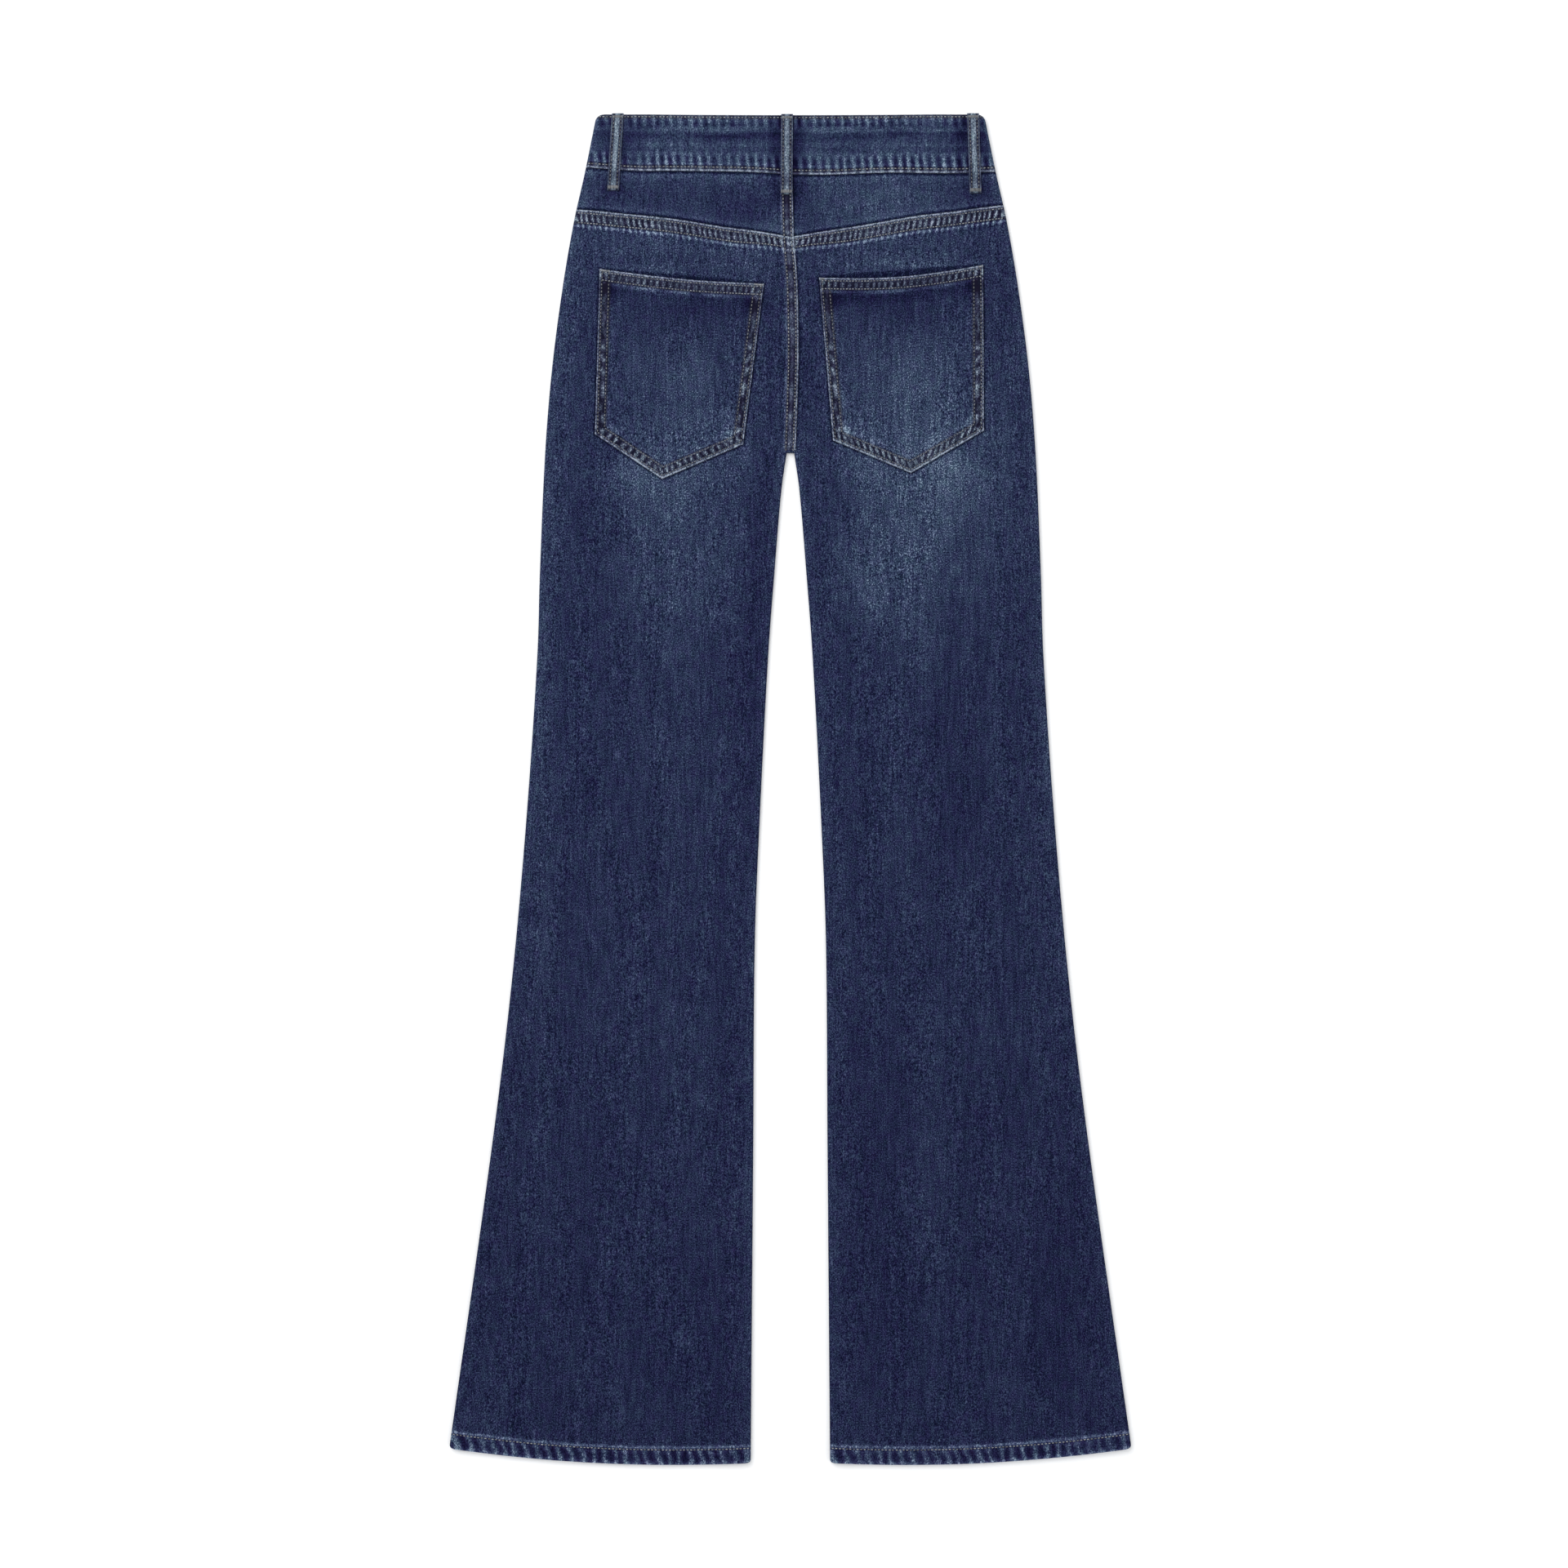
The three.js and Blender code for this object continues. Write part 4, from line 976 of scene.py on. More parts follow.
HALF_ACROSS = (0.2, 0.36, 0.5, 0.6, 0.7, 0.8, 0.9, 0.97, 1)
LOOP_ACROSS = (*(-at for at in HALF_ACROSS[::-1]), 0, *HALF_ACROSS)
LOOP_NEAR = (0, 0.3, 0.8, 1.6, 2.6, 3.6, 4.2, 5.4, 7)  # rows beside each end


def loop_run(name):
    """(drop at the top, drop of the band's lower edge, drop at the end) of a belt loop."""
    top_x, _, _, is_back = LOOPS[name]
    top = back_top(top_x) + (0 if is_back else front_dip(top_x)) - LOOP_STAND
    band_end = back_band_end(top_x) if is_back else front_band_end(top_x)
    return float(top), float(band_end), float(band_end) + LOOP_BELOW


def loop_wall(name):
    top_x, end_x, over, is_back = LOOPS[name]
    top, band_end, end = loop_run(name)
    near = np.array(LOOP_NEAR)
    middle = np.linspace(top + 8.5, end - 8.5, 24)
    drop = np.concatenate([top + near, middle, (end - near)[::-1]])[:, None]
    t = (drop - top) / (end - top)
    aside = np.array(LOOP_ACROSS)[None, :]
    x = lerp(top_x, end_x, t) + aside * LOOP_WIDTH / 2
    ends = np.maximum(
        plateau(drop - top, LOOP_END, LOOP_END + 3), plateau(end - drop, LOOP_END, LOOP_END + 1)
    )
    slack = LOOP_SLACK * np.sin(np.pi * t)
    from_edge = (1 - np.abs(aside)) * LOOP_WIDTH / 2
    from_end = np.minimum(drop - top, end - drop)
    rounding = fold_round(from_edge, 1.0) + fold_round(from_end, 0.8)
    groove = 0.28 * np.exp(-(((from_edge - LOOP_ROW) / 0.6) ** 2))
    swell = 0.25 * np.cos(np.pi * aside / 1.1) * (np.abs(aside) < 0.55)
    tall = LOOP_WALL + LOOP_END_WALL * ends - rounding - groove + swell * 0.6
    on_band = propped(x, band_end) + BAND_FOLD
    below = back_height(x, drop) + over + 0.22
    stepped = lerp(on_band, below, smooth((drop - band_end - 2) / 5))
    surface = np.where(drop <= band_end + 2, on_band, stepped)
    fade = 0.42 + 0.36 * plateau(np.abs(aside), 0.28, 0.50) + 0.08 * cloud(x, drop, 3, 5, 81)
    fade = fade - 0.18 * between(end - drop, 9, 14, 3) - 0.06 * plateau(end - drop, 3.6, 4.2) + 0 * x
    wall = Wall()
    if is_back:
        under = surface + 1.2 * SEW_GAP + slack
        outer = under + tall
    else:
        under = LOOP_LIFT - SEW_GAP - slack + 0 * x
        outer = rounding + groove
    wall.grid(wall.nodes(x, drop, outer, under, fade, (from_edge + 0 * x, FAR, from_end + 0 * x)))
    return wall


# ---- sewing -------------------------------------------------------------------------------------

THREAD_SIDES = 6
STITCH_FORM = (  # share of the length, share of the radius, height
    (0, 0, -0.40), (0.1, 0.75, -0.12), (0.32, 1, 0.10), (0.68, 1, 0.10), (0.9, 0.75, -0.12), (1, 0, -0.40),
)


class Thread:
    """Stitches, each a short arched length of thread, gathered into one piece."""

    def __init__(self, sewing, share=1.0):
        self.radius = sewing.thread_width / 2 / MM * share
        self.share = sewing.stitch_share
        self.starts, self.ends, self.ups = [], [], []

    def lay(self, surface, places, up, lift, steepest):
        """Adds a stitch between two (x, drop) places, unless it hangs over the edge of the surface."""
        heights = [height_on(surface, x, drop, up) for x, drop in places]
        if None in heights or abs(heights[0] - heights[1]) >= steepest:
            return
        for ends, (x, drop), height in zip((self.starts, self.ends), places, heights):
            ends.append((x, TOP_Y - drop, height + lift))
        self.ups.append(1 if up else -1)

    def piece(self, name, material):
        start, end = np.array(self.starts, float), np.array(self.ends, float)
        up = np.zeros_like(start)
        up[:, 2] = self.ups
        run = end - start
        length = np.linalg.norm(run, axis=1, keepdims=True)
        side = np.cross(run / length, up)
        side /= np.linalg.norm(side, axis=1, keepdims=True)
        count, rings = len(start), STITCH_FORM[1:-1]
        turn = np.radians(np.arange(THREAD_SIDES) * 360 / THREAD_SIDES - 90)
        rows, along, around = [], [], []
        for share, _, height in (STITCH_FORM[0], STITCH_FORM[-1]):
            rows.append((start + run * share + up * height)[:, None])
            along.append(length * share)
            around.append(np.zeros((count, 1)))
        for share, thick, height in rings:
            centre = (start + run * share + up * height)[:, None]
            reach = self.radius * thick
            rim = side[:, None] * np.cos(turn)[:, None] + up[:, None] * np.sin(turn)[:, None]
            rows.append(centre + reach * rim)
            along.append(np.broadcast_to(length * share, (count, THREAD_SIDES)))
            around.append(np.broadcast_to(np.arange(THREAD_SIDES) / THREAD_SIDES, (count, THREAD_SIDES)))
        points = np.concatenate(rows, 1)
        each = points.shape[1]
        faces = []
        for k in range(THREAD_SIDES):
            after = (k + 1) % THREAD_SIDES
            first, last = 2, 2 + THREAD_SIDES * (len(rings) - 1)
            faces.append((0, first + after, first + k))
            faces.append((1, last + k, last + after))
            for ring in range(len(rings) - 1):
                low, high = 2 + ring * THREAD_SIDES, 2 + (ring + 1) * THREAD_SIDES
                faces.append((low + k, low + after, high + after, high + k))
        mesh = bpy.data.meshes.new(name)
        all_faces = [tuple(i + each * n for i in face) for n in range(count) for face in faces]
        mesh.from_pydata((points.reshape(-1, 3) * MM).tolist(), [], all_faces)
        tone = np.repeat(np.random.RandomState(count).uniform(0, 1, count), each)
        store(mesh, "along", np.concatenate(along, 1))
        store(mesh, "around", np.concatenate(around, 1))
        store(mesh, "tone", tone)
        piece = selected_object(name, mesh)
        bpy.ops.object.shade_smooth()
        mesh.materials.append(material)
        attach(piece, "root")
        return piece


def sew(thread, surface, path, pitch, up=True, seed=0):
    """Adds a row of stitches along a path of (x, drop) points that lies on a surface."""
    path = np.array(path, float)
    run = np.concatenate([[0], np.cumsum(np.hypot(*np.diff(path, axis=0).T))])
    random = np.random.RandomState(seed + len(path))
    count = int(run[-1] / pitch)
    pitch = run[-1] / max(count, 1)
    for k in range(count):
        length = pitch * thread.share + random.uniform(-0.2, 0.2)
        middle = (k + 0.5) * pitch + random.uniform(-0.12, 0.12)
        places = []
        for at in (middle - length / 2, middle + length / 2):
            x, drop = (float(np.interp(at, run, path[:, axis])) for axis in (0, 1))
            places.append((x + random.uniform(-0.1, 0.1), drop + random.uniform(-0.1, 0.1)))
        thread.lay(surface, places, up, 0, 1.2)


TACK_PITCH, TACK_SLANT = 0.46, 0.22  # from thread to thread, and how far each leans


def bar_tack(thread, surface, middle, length, width, degrees=0, up=True):
    """Adds a bar tack: threads side by side across a short bar, slanting to and fro."""
    angle = math.radians(degrees)
    count = int(length / TACK_PITCH)
    for k in range(count):
        along = (k + 0.5) / count * length - length / 2
        slant = TACK_SLANT if k % 2 else -TACK_SLANT
        places = []
        for across in (-width / 2, width / 2):
            a = along + slant * np.sign(across)
            x = middle[0] + a * math.cos(angle) - across * math.sin(angle)
            places.append((x, middle[1] + a * math.sin(angle) + across * math.cos(angle)))
        thread.lay(surface, places, up, 0.22 if up else -0.1, 1.5)


def across_row(drop_of, low, high):
    x = np.linspace(low, high, max(3, int(abs(high - low) / 2)))
    return np.stack([x, drop_of(x)], -1)


def down_row(x_of, low, high):
    drop = np.linspace(low, high, max(3, int((high - low) / 2)))
    return np.stack([x_of(drop), drop], -1)


def pocket_outline(pocket, side_inset, base_inset):
    """The line that far inside a pocket's sides and lower edges, from its outer top corner."""
    corners = corners_of(pocket)
    middle = sum(corners) / len(corners)
    lines = []
    insets = (side_inset, base_inset, base_inset, side_inset)
    for a, b, inset in zip(corners, corners[1:], insets):
        along = (b - a) / np.linalg.norm(b - a)
        normal = np.array([-along[1], along[0]])
        normal *= np.sign(np.dot(middle - a, normal))
        lines.append((a + normal * inset, along))
    points = []
    for (a, along_a), (b, along_b) in zip(lines, lines[1:]):
        t = np.linalg.solve(np.column_stack([along_a, -along_b]), b - a)[0]
        points.append(a + along_a * t)
    return np.array([lines[0][0], *points, corners[-1] + (lines[-1][0] - corners[-2])])


def dense(points, step=2.0):
    """The same line with a point at least every step."""
    out = [points[0]]
    for a, b in zip(points, points[1:]):
        count = max(1, int(np.linalg.norm(b - a) / step))
        out += [lerp(a, b, k / count) for k in range(1, count + 1)]
    return np.array(out)


# ---- materials ----------------------------------------------------------------------------------

TONE_REACH = 20.0                # millimetres of seam distance that a tone table covers
# Each table is the width of the seam's greyer band, then (distance from its folded edge, how much paler the
# cloth is there). The dips below zero beside the stitch rows are painted shade of the sunk thread.
YOKE_TONE = 9.8, (
    (0, 0.27), (0.4, 0.46), (0.95, 0.57), (1.35, 0.40), (1.8, 0.09), (2.4, -0.09), (3.3, 0.0),
    (4.0, -0.03), (4.7, -0.01), (5.4, 0.16), (6.5, 0.08), (7.4, 0.04), (8.0, -0.06), (8.8, -0.14),
    (9.8, -0.09), (10.5, 0.05), (11.5, 0.40), (12.2, 0.32), (13.1, 0.12), (14.4, -0.03), (16, -0.02),
    (18, 0),
)
SEAT_TONE = 9.2, (
    (0, 0.34), (0.4, 0.52), (0.9, 0.47), (1.2, 0.16), (1.6, -0.18), (2.5, -0.26), (3.1, 0.0),
    (3.8, 0.01), (4.5, 0.22), (5.2, 0.26), (5.9, 0.24), (6.6, 0.12), (7.4, -0.04), (8.0, -0.18),
    (8.6, -0.09), (9.2, 0.24), (9.9, 0.27), (10.6, 0.12), (11.3, -0.02), (12.5, -0.06), (15, -0.03),
    (17, 0),
)
# Painted shadow of the lapped seat seam's raised fold, on the panel that it laps.
BUTT_TONE = 0, ((0, -0.28), (1.2, -0.18), (2.4, -0.03), (4, 0))
HEM_TONE = 0, (
    (0, 0.44), (1.0, 0.36), (2.2, 0.22), (3.4, 0.14), (5.0, 0.10), (8.0, 0.09), (11.0, 0.18), (11.8, 0.02),
    (13.0, 0.02), (13.5, 0.26), (14.3, 0.44), (15.2, 0.32), (16.2, 0.05), (17.5, 0),
)
BAND_TOP_TONE = 3.2, (
    (0, -0.10), (0.8, 0.0), (1.5, -0.14), (2.6, -0.12), (3.4, 0.06), (5.4, 0.10), (7.4, 0),
)
BAND_END_TONE = 4.4, (
    (0, 0.26), (0.4, 0.42), (1.0, 0.50), (1.4, 0.30), (1.8, 0.06), (2.5, -0.10), (3.0, -0.08),
    (3.9, -0.12), (4.5, -0.16), (5.1, 0.02), (5.8, 0.20), (6.6, 0.18), (8, 0.07), (10, 0.01),
    (13, 0.05), (15, 0.05), (18, 0),
)
# Painted shadow that the waistband's lower edge casts on the yoke.
UNDER_BAND_TONE = 0, (
    (0, -0.42), (1.0, -0.37), (1.6, -0.15), (2.3, 0.02), (3.2, 0.08), (6, 0.03), (9, 0),
)
# Painted shadow that the back leg's lapped top edge casts on the yoke.
OVER_SEAM_TONE = 0, (
    (0, -0.36), (0.9, -0.31), (1.6, -0.12), (2.3, 0.06), (3.2, 0.11), (6, 0.04), (8, 0),
)
# From 13.6 mm on, below the mouth's band, the cloth is darkened as painted shade under it.
MOUTH_TONE = 9.8, (
    (0, 0.34), (0.4, 0.48), (1.0, 0.50), (1.4, 0.22), (1.8, 0.0), (2.5, -0.09), (3.3, 0.0),
    (3.9, -0.11), (4.6, 0.03), (5.4, 0.03), (6.6, -0.04), (7.3, -0.03), (8.0, -0.07), (8.6, -0.10),
    (9.3, -0.13), (9.9, -0.06), (10.5, 0.10), (11.4, 0.22), (12.0, 0.17), (12.8, 0.07), (13.6, -0.01),
    (15, -0.06), (17, -0.05), (20, 0),
)
SIDE_TONE = 9.2, (
    (0, 0.24), (0.4, 0.43), (0.8, 0.38), (1.1, 0.18), (1.4, -0.10), (1.8, -0.28), (2.7, -0.20),
    (3.3, -0.14), (3.9, -0.06), (4.6, 0.06), (5.6, 0.12), (6.3, 0.01), (6.9, -0.11), (7.9, -0.26),
    (8.6, -0.19), (9.2, -0.05), (10.5, 0), (14, 0),
)
BASE_TONE = 9.6, (
    (0, 0.26), (0.4, 0.47), (1.0, 0.47), (1.4, 0.22), (1.9, -0.04), (2.5, -0.02), (3.2, -0.12),
    (3.8, -0.20), (4.5, -0.04), (5.5, -0.01), (6.3, 0.02), (7.0, -0.06), (7.8, -0.15), (8.8, -0.06),
    (9.5, -0.10), (10.1, -0.12), (10.9, 0.08), (12, 0.09), (14, 0.06), (17, 0.02), (20, 0),
)
LOOP_TONE = 5, ((0, 0.12), (0.4, 0.22), (0.9, 0.10), (1.3, -0.24), (2.4, -0.26), (2.9, 0))
# Beyond a pocket's edges, on the leg.
POCKET_SHADE = 0, ((0, -0.28), (0.8, -0.21), (1.3, -0.09), (1.9, 0.0), (2.6, 0.03), (5, 0))
DULLING = 0.24                   # how much greyer the cloth is within a seam's band
NO_TONE = 0, ()


def linear(red, green, blue):
    """A colour given as it looks on screen, from 0 to 255, as light."""
    def light(value):
        value /= 255
        return value / 12.92 if value <= 0.04045 else ((value + 0.055) / 1.055) ** 2.4
    return tuple(light(value) for value in (red, green, blue))


class Finish:
    """A material under construction, with short calls for the nodes that all of them use."""

    def __init__(self, name):
        self.material = bpy.data.materials.new(name)
        self.material.use_nodes = True
        self.tree = self.material.node_tree
        self.tree.nodes.clear()
        self.shader = self.add("ShaderNodeBsdfPrincipled")
        output = self.add("ShaderNodeOutputMaterial")
        self.link(self.shader.outputs["BSDF"], output.inputs["Surface"])
        self.place = self.mapping(self.add("ShaderNodeTexCoord").outputs["Object"], (1 / MM,) * 3)

    def add(self, kind, **settings):
        made = self.tree.nodes.new(kind)
        for key, value in settings.items():
            setattr(made, key, value)
        return made

    def link(self, source, target):
        self.tree.links.new(source, target)

    def mapping(self, vector, scale, location=(0, 0, 0)):
        made = self.add("ShaderNodeMapping")
        made.inputs["Scale"].default_value = scale
        made.inputs["Location"].default_value = location
        self.link(vector, made.inputs["Vector"])
        return made.outputs["Vector"]

    def math(self, operation, a, b=0.0, c=0.0):
        made = self.add("ShaderNodeMath", operation=operation)
        for socket, value in zip(made.inputs, (a, b, c)):
            if isinstance(value, (int, float)):
                socket.default_value = value
            else:
                self.link(value, socket)
        return made.outputs[0]

    def noise(self, size, detail=2.0, seed=0, roughness=0.55):
        """Noise around 0, of this size in millimetres along x, y and z."""
        vector = self.mapping(self.place, tuple(1 / s for s in size), (seed * 7.3, seed * 3.1, seed))
        made = self.add("ShaderNodeTexNoise")
        made.inputs["Scale"].default_value = 1.0
        made.inputs["Detail"].default_value = detail
        made.inputs["Roughness"].default_value = roughness
        self.link(vector, made.inputs["Vector"])
        return self.math("SUBTRACT", made.outputs["Fac"], 0.5)

    def attribute(self, name, output="Fac"):
        return self.add("ShaderNodeAttribute", attribute_name=name).outputs[output]

    def ramp(self, value, stops):
        """A colour ramp through (position, colour) stops."""
        made = self.add("ShaderNodeValToRGB")
        elements = made.color_ramp.elements
        while len(elements) < len(stops):
            elements.new(1.0)
        for element, (position, colour) in zip(elements, stops):
            element.position = position
            element.color = (*colour, 1)
        self.link(value, made.inputs["Fac"])
        return made.outputs["Color"]

    def tone(self, distance, table):
        """How much paler the cloth is at a distance from a seam."""
        share = self.math("DIVIDE", distance, TONE_REACH)
        stops = [(mm / TONE_REACH, (0.5 + amount / 2,) * 3) for mm, amount in table[1]]
        grey = self.ramp(share, stops)
        return self.math("MULTIPLY_ADD", grey, 2.0, -1.0)

    def mix(self, factor, a, b):
        made = self.add("ShaderNodeMix", data_type="RGBA")
        for key, kind, value in (("Factor", "VALUE", factor), ("A", "RGBA", a), ("B", "RGBA", b)):
            socket = [s for s in made.inputs if s.name == key and s.type == kind][0]
            if isinstance(value, (int, float)):
                socket.default_value = value
            elif isinstance(value, tuple):
                socket.default_value = (*value, 1)
            else:
                self.link(value, socket)
        return [s for s in made.outputs if s.type == "RGBA"][0]

    def bump(self, height, strength, distance):
        made = self.add("ShaderNodeBump")
        made.inputs["Strength"].default_value = strength
        made.inputs["Distance"].default_value = distance
        self.link(height, made.inputs["Height"])
        self.link(made.outputs["Normal"], self.shader.inputs["Normal"])

    def done(self, values):
        """Sets the shader's uniform values, and returns the material."""
        for socket, value in values.items():
            self.shader.inputs[socket].default_value = value
        return self.material


def outside_distance(finish, corners):
    """Distance outside a convex outline of (x, y) corners, in millimetres, and 0 inside it."""
    middle = sum(corners) / len(corners)
    distance = 0.0
    for a, b in zip(corners, [*corners[1:], corners[0]]):
        along = (b - a) / np.linalg.norm(b - a)
        normal = np.array([along[1], -along[0]])
        normal *= -np.sign(np.dot(middle - a, normal))
        across = finish.add("ShaderNodeVectorMath", operation="DOT_PRODUCT")
        finish.link(finish.place, across.inputs[0])
        across.inputs[1].default_value = (*normal, 0)
        beyond = finish.math("SUBTRACT", across.outputs["Value"], float(np.dot(a, normal)))
        distance = finish.math("MAXIMUM", beyond, distance)
    return distance


CLOTH_NOISES = (  # size in x, y and z, detail, weight in the cloth's salt and pepper
    ("grain", (1.35, 1.9, 1.35), 2.0, 0.50), ("slub", (1.5, 22, 1.5), 1.5, 0.74),
    ("speck", (0.70, 1.10, 0.70), 0.0, 1.75), ("mottle", (7, 11, 7), 2.0, 0.28),
)
TWILL_PITCH = 0.72


def denim(look, name, tones, pocket=None, grain_share=1.0):
    """Washed indigo twill. Tones are the tables for the piece's three seam distances."""
    if name in bpy.data.materials:
        return bpy.data.materials[name]
    finish = Finish(name)
    fade = finish.attribute("fade")
    contrast = finish.math("MULTIPLY_ADD", fade, 0.95 * grain_share, 0.44 * grain_share)
    noises, texture = {}, 0.0
    for seed, (kind, size, detail, weight) in enumerate(CLOTH_NOISES, 1):
        noises[kind] = finish.noise(size, detail, seed)
        texture = finish.math("MULTIPLY_ADD", noises[kind], weight, texture)
    texture = finish.math("MULTIPLY", texture, look.grain)
    shade = finish.math("MULTIPLY_ADD", texture, contrast, fade)
    separate = finish.add("ShaderNodeSeparateXYZ")
    finish.link(finish.attribute("edges", "Vector"), separate.inputs[0])
    # worn gathers the tone tables: wear along the seams, and the painted shade and painted shadows in them.
    worn, banded = 0.0, 0.0
    for distance, table in zip(separate.outputs, tones):
        band, stops = table
        if stops:
            worn = finish.math("ADD", worn, finish.tone(distance, table))
        if band:
            inside = finish.math("SUBTRACT", band + 1.0, distance)
            banded = finish.math("MAXIMUM", inside, banded)
    if pocket:
        corners = [np.array([x, TOP_Y - drop]) for x, drop in corners_of(pocket)]
        beyond = outside_distance(finish, corners)
        worn = finish.math("ADD", worn, finish.tone(beyond, POCKET_SHADE))
    uneven = finish.math("MULTIPLY_ADD", finish.noise((2.4, 2.4, 2.4), 2.0, 5), 2.8, 1.0)
    shade = finish.math("MULTIPLY_ADD", worn, uneven, shade)
    steps = (look.dye_deep_and_shade, look.dye_dark, look.dye_middle, look.dye_soft, look.dye_pale, look.dye_bare)
    outside = finish.ramp(shade, [(k / 5, tuple(colour)) for k, colour in enumerate(steps)])
    weft = finish.math("MULTIPLY_ADD", texture, 0.8, 0.5)
    reverse = finish.ramp(weft, ((0.0, linear(70, 78, 100)), (1.0, linear(150, 158, 176))))
    colour = finish.mix(finish.attribute("inside"), outside, reverse)
    tint = finish.add("ShaderNodeHueSaturation")
    finish.link(colour, tint.inputs["Color"])
    greener = finish.math("MULTIPLY_ADD", fade, -0.055, 0.512)
    hue = finish.math("MULTIPLY_ADD", finish.noise((5, 8, 5), 3.0, 6), 0.08, greener)
    finish.link(hue, tint.inputs["Hue"])
    dull = finish.math("MINIMUM", banded, 1.0)
    finish.link(finish.math("MULTIPLY_ADD", dull, -DULLING, 1.0), tint.inputs["Saturation"])
    finish.link(tint.outputs["Color"], finish.shader.inputs["Base Color"])
    place = finish.add("ShaderNodeSeparateXYZ")
    finish.link(finish.place, place.inputs[0])
    slant = finish.math("MULTIPLY_ADD", place.outputs[1], -0.55, place.outputs[0])
    twill = finish.math("SINE", finish.math("MULTIPLY", slant, 2 * math.pi / TWILL_PITCH))
    height = finish.math("MULTIPLY_ADD", twill, 0.16, finish.math("MULTIPLY", noises["grain"], 1.6))
    height = finish.math("MULTIPLY_ADD", noises["slub"], 0.9, height)
    finish.bump(height, 0.55, 0.00025)
    return finish.done({
        "Roughness": 0.9, "Specular IOR Level": 0.03, "Sheen Weight": 0.005, "Sheen Roughness": 0.5,
    })


def thread_finish(name, colour):
    """Spun sewing thread: its twist is a fine bump, and each stitch has its own shade."""
    if name in bpy.data.materials:
        return bpy.data.materials[name]
    finish = Finish(name)
    deep, pale = tuple(c * 0.42 for c in colour), tuple(min(1, c * 1.35) for c in colour)
    patches = finish.noise((2.2, 2.2, 2.2), 1.0, 8)
    shade = finish.math("MULTIPLY_ADD", patches, 0.9, finish.attribute("tone"))
    shades = finish.ramp(shade, ((0.0, deep), (0.45, tuple(colour)), (1.0, pale)))
    finish.link(shades, finish.shader.inputs["Base Color"])
    turns = finish.math("MULTIPLY_ADD", finish.attribute("along"), 1 / 0.7, finish.attribute("around"))
    finish.bump(finish.math("SINE", finish.math("MULTIPLY", turns, 2 * math.pi)), 0.5, 0.0001)
    return finish.done({"Roughness": 0.62, "Sheen Weight": 0.1})


def thread_finishes(look):
    """The threads of the seams, of the pocket mouths, and of the pocket sides and belt loops."""
    colours = {"tan": look.thread_tan, "gold": look.thread_gold, "brown": look.thread_brown}
    return [thread_finish(f"{name} thread", colour) for name, colour in colours.items()]


def old_brass():
    """Antiqued brass: dull brown in patches, rubbed brighter between them."""
    finish = Finish("antique brass")
    patches = finish.math("ADD", finish.noise((3, 3, 3), 3.0, 9), 0.5)
    brown, brass, rubbed = linear(92, 74, 48), linear(150, 128, 88), linear(182, 160, 116)
    colour = finish.ramp(patches, ((0.3, brown), (0.6, brass), (0.8, rubbed)))
    finish.link(colour, finish.shader.inputs["Base Color"])
    rough = finish.math("MULTIPLY_ADD", patches, -0.3, 0.55)
    finish.link(rough, finish.shader.inputs["Roughness"])
    finish.bump(finish.noise((0.6, 0.6, 0.6), 2.0, 10), 0.3, 0.0001)
    return finish.done({"Metallic": 1.0})


TABLE_GLOW = 0.10                # a light table's own light, which keeps the shadows on it pale


def matte(name, colour, roughness):
    """A studio surface with a faint unevenness, lit a little from below."""
    finish = Finish(name)
    fleck = finish.math("ADD", finish.noise((40, 40, 40), 2.0, 12), 0.5)
    low = tuple(c * 0.985 for c in colour)
    finish.link(finish.ramp(fleck, ((0.3, low), (0.7, colour))), finish.shader.inputs["Base Color"])
    return finish.done({
        "Roughness": roughness, "Emission Color": (1, 1, 1, 1), "Emission Strength": TABLE_GLOW,
    })


# ---- settings -----------------------------------------------------------------------------------


def colour_property(name, description, value):
    return FloatVectorProperty(
        name=name, description=description, subtype="COLOR", size=3, min=0, max=1, default=value
    )


def length_property(name, description, value):
    return FloatProperty(
        name=name, description=description, default=value, unit="LENGTH", subtype="DISTANCE",
    )


class JeansLook(bpy.types.PropertyGroup):
    """Dye, wash and thread colours."""

    # The ramp's darkest stop, reached in seam hollows by unworn indigo and by the painted shade of the tone
    # tables.
    dye_deep_and_shade: colour_property("Deep dye", "Indigo in the hollows of seams", linear(10, 14, 37))
    dye_dark: colour_property("Dark dye", "Indigo of the shins", linear(29, 32, 63))
    dye_middle: colour_property("Middle dye", "Indigo of the hips", linear(44, 52, 81))
    dye_soft: colour_property("Soft dye", "Indigo of the worn thighs", linear(63, 73, 101))
    dye_pale: colour_property("Pale dye", "Indigo along worn edges", linear(92, 104, 132))
    dye_bare: colour_property("Bare cloth", "Cotton with its dye rubbed off", linear(140, 152, 176))
    thread_tan: colour_property("Tan thread", "Thread of the waist, seams and hems", linear(134, 136, 138))
    thread_gold: colour_property("Mouth thread", "Thread of the pocket mouths", linear(129, 132, 137))
    thread_brown: colour_property("Side thread", "Thread of the pocket sides", linear(108, 110, 114))
    grain: FloatProperty(
        name="Grain", description="Contrast of the cloth's salt and pepper grain", default=1.0, min=0, max=3,
        subtype="FACTOR",
    )


class JeansSewing(bpy.types.PropertyGroup):
    """Sizes of the topstitching."""

    stitch_share: FloatProperty(
        name="Stitch share", description="Share of each stitch that shows on top", default=0.68,
        min=0.3, max=0.95, subtype="FACTOR",
    )
    thread_width: length_property("Thread width", "Thickness of the thread", 0.00086)


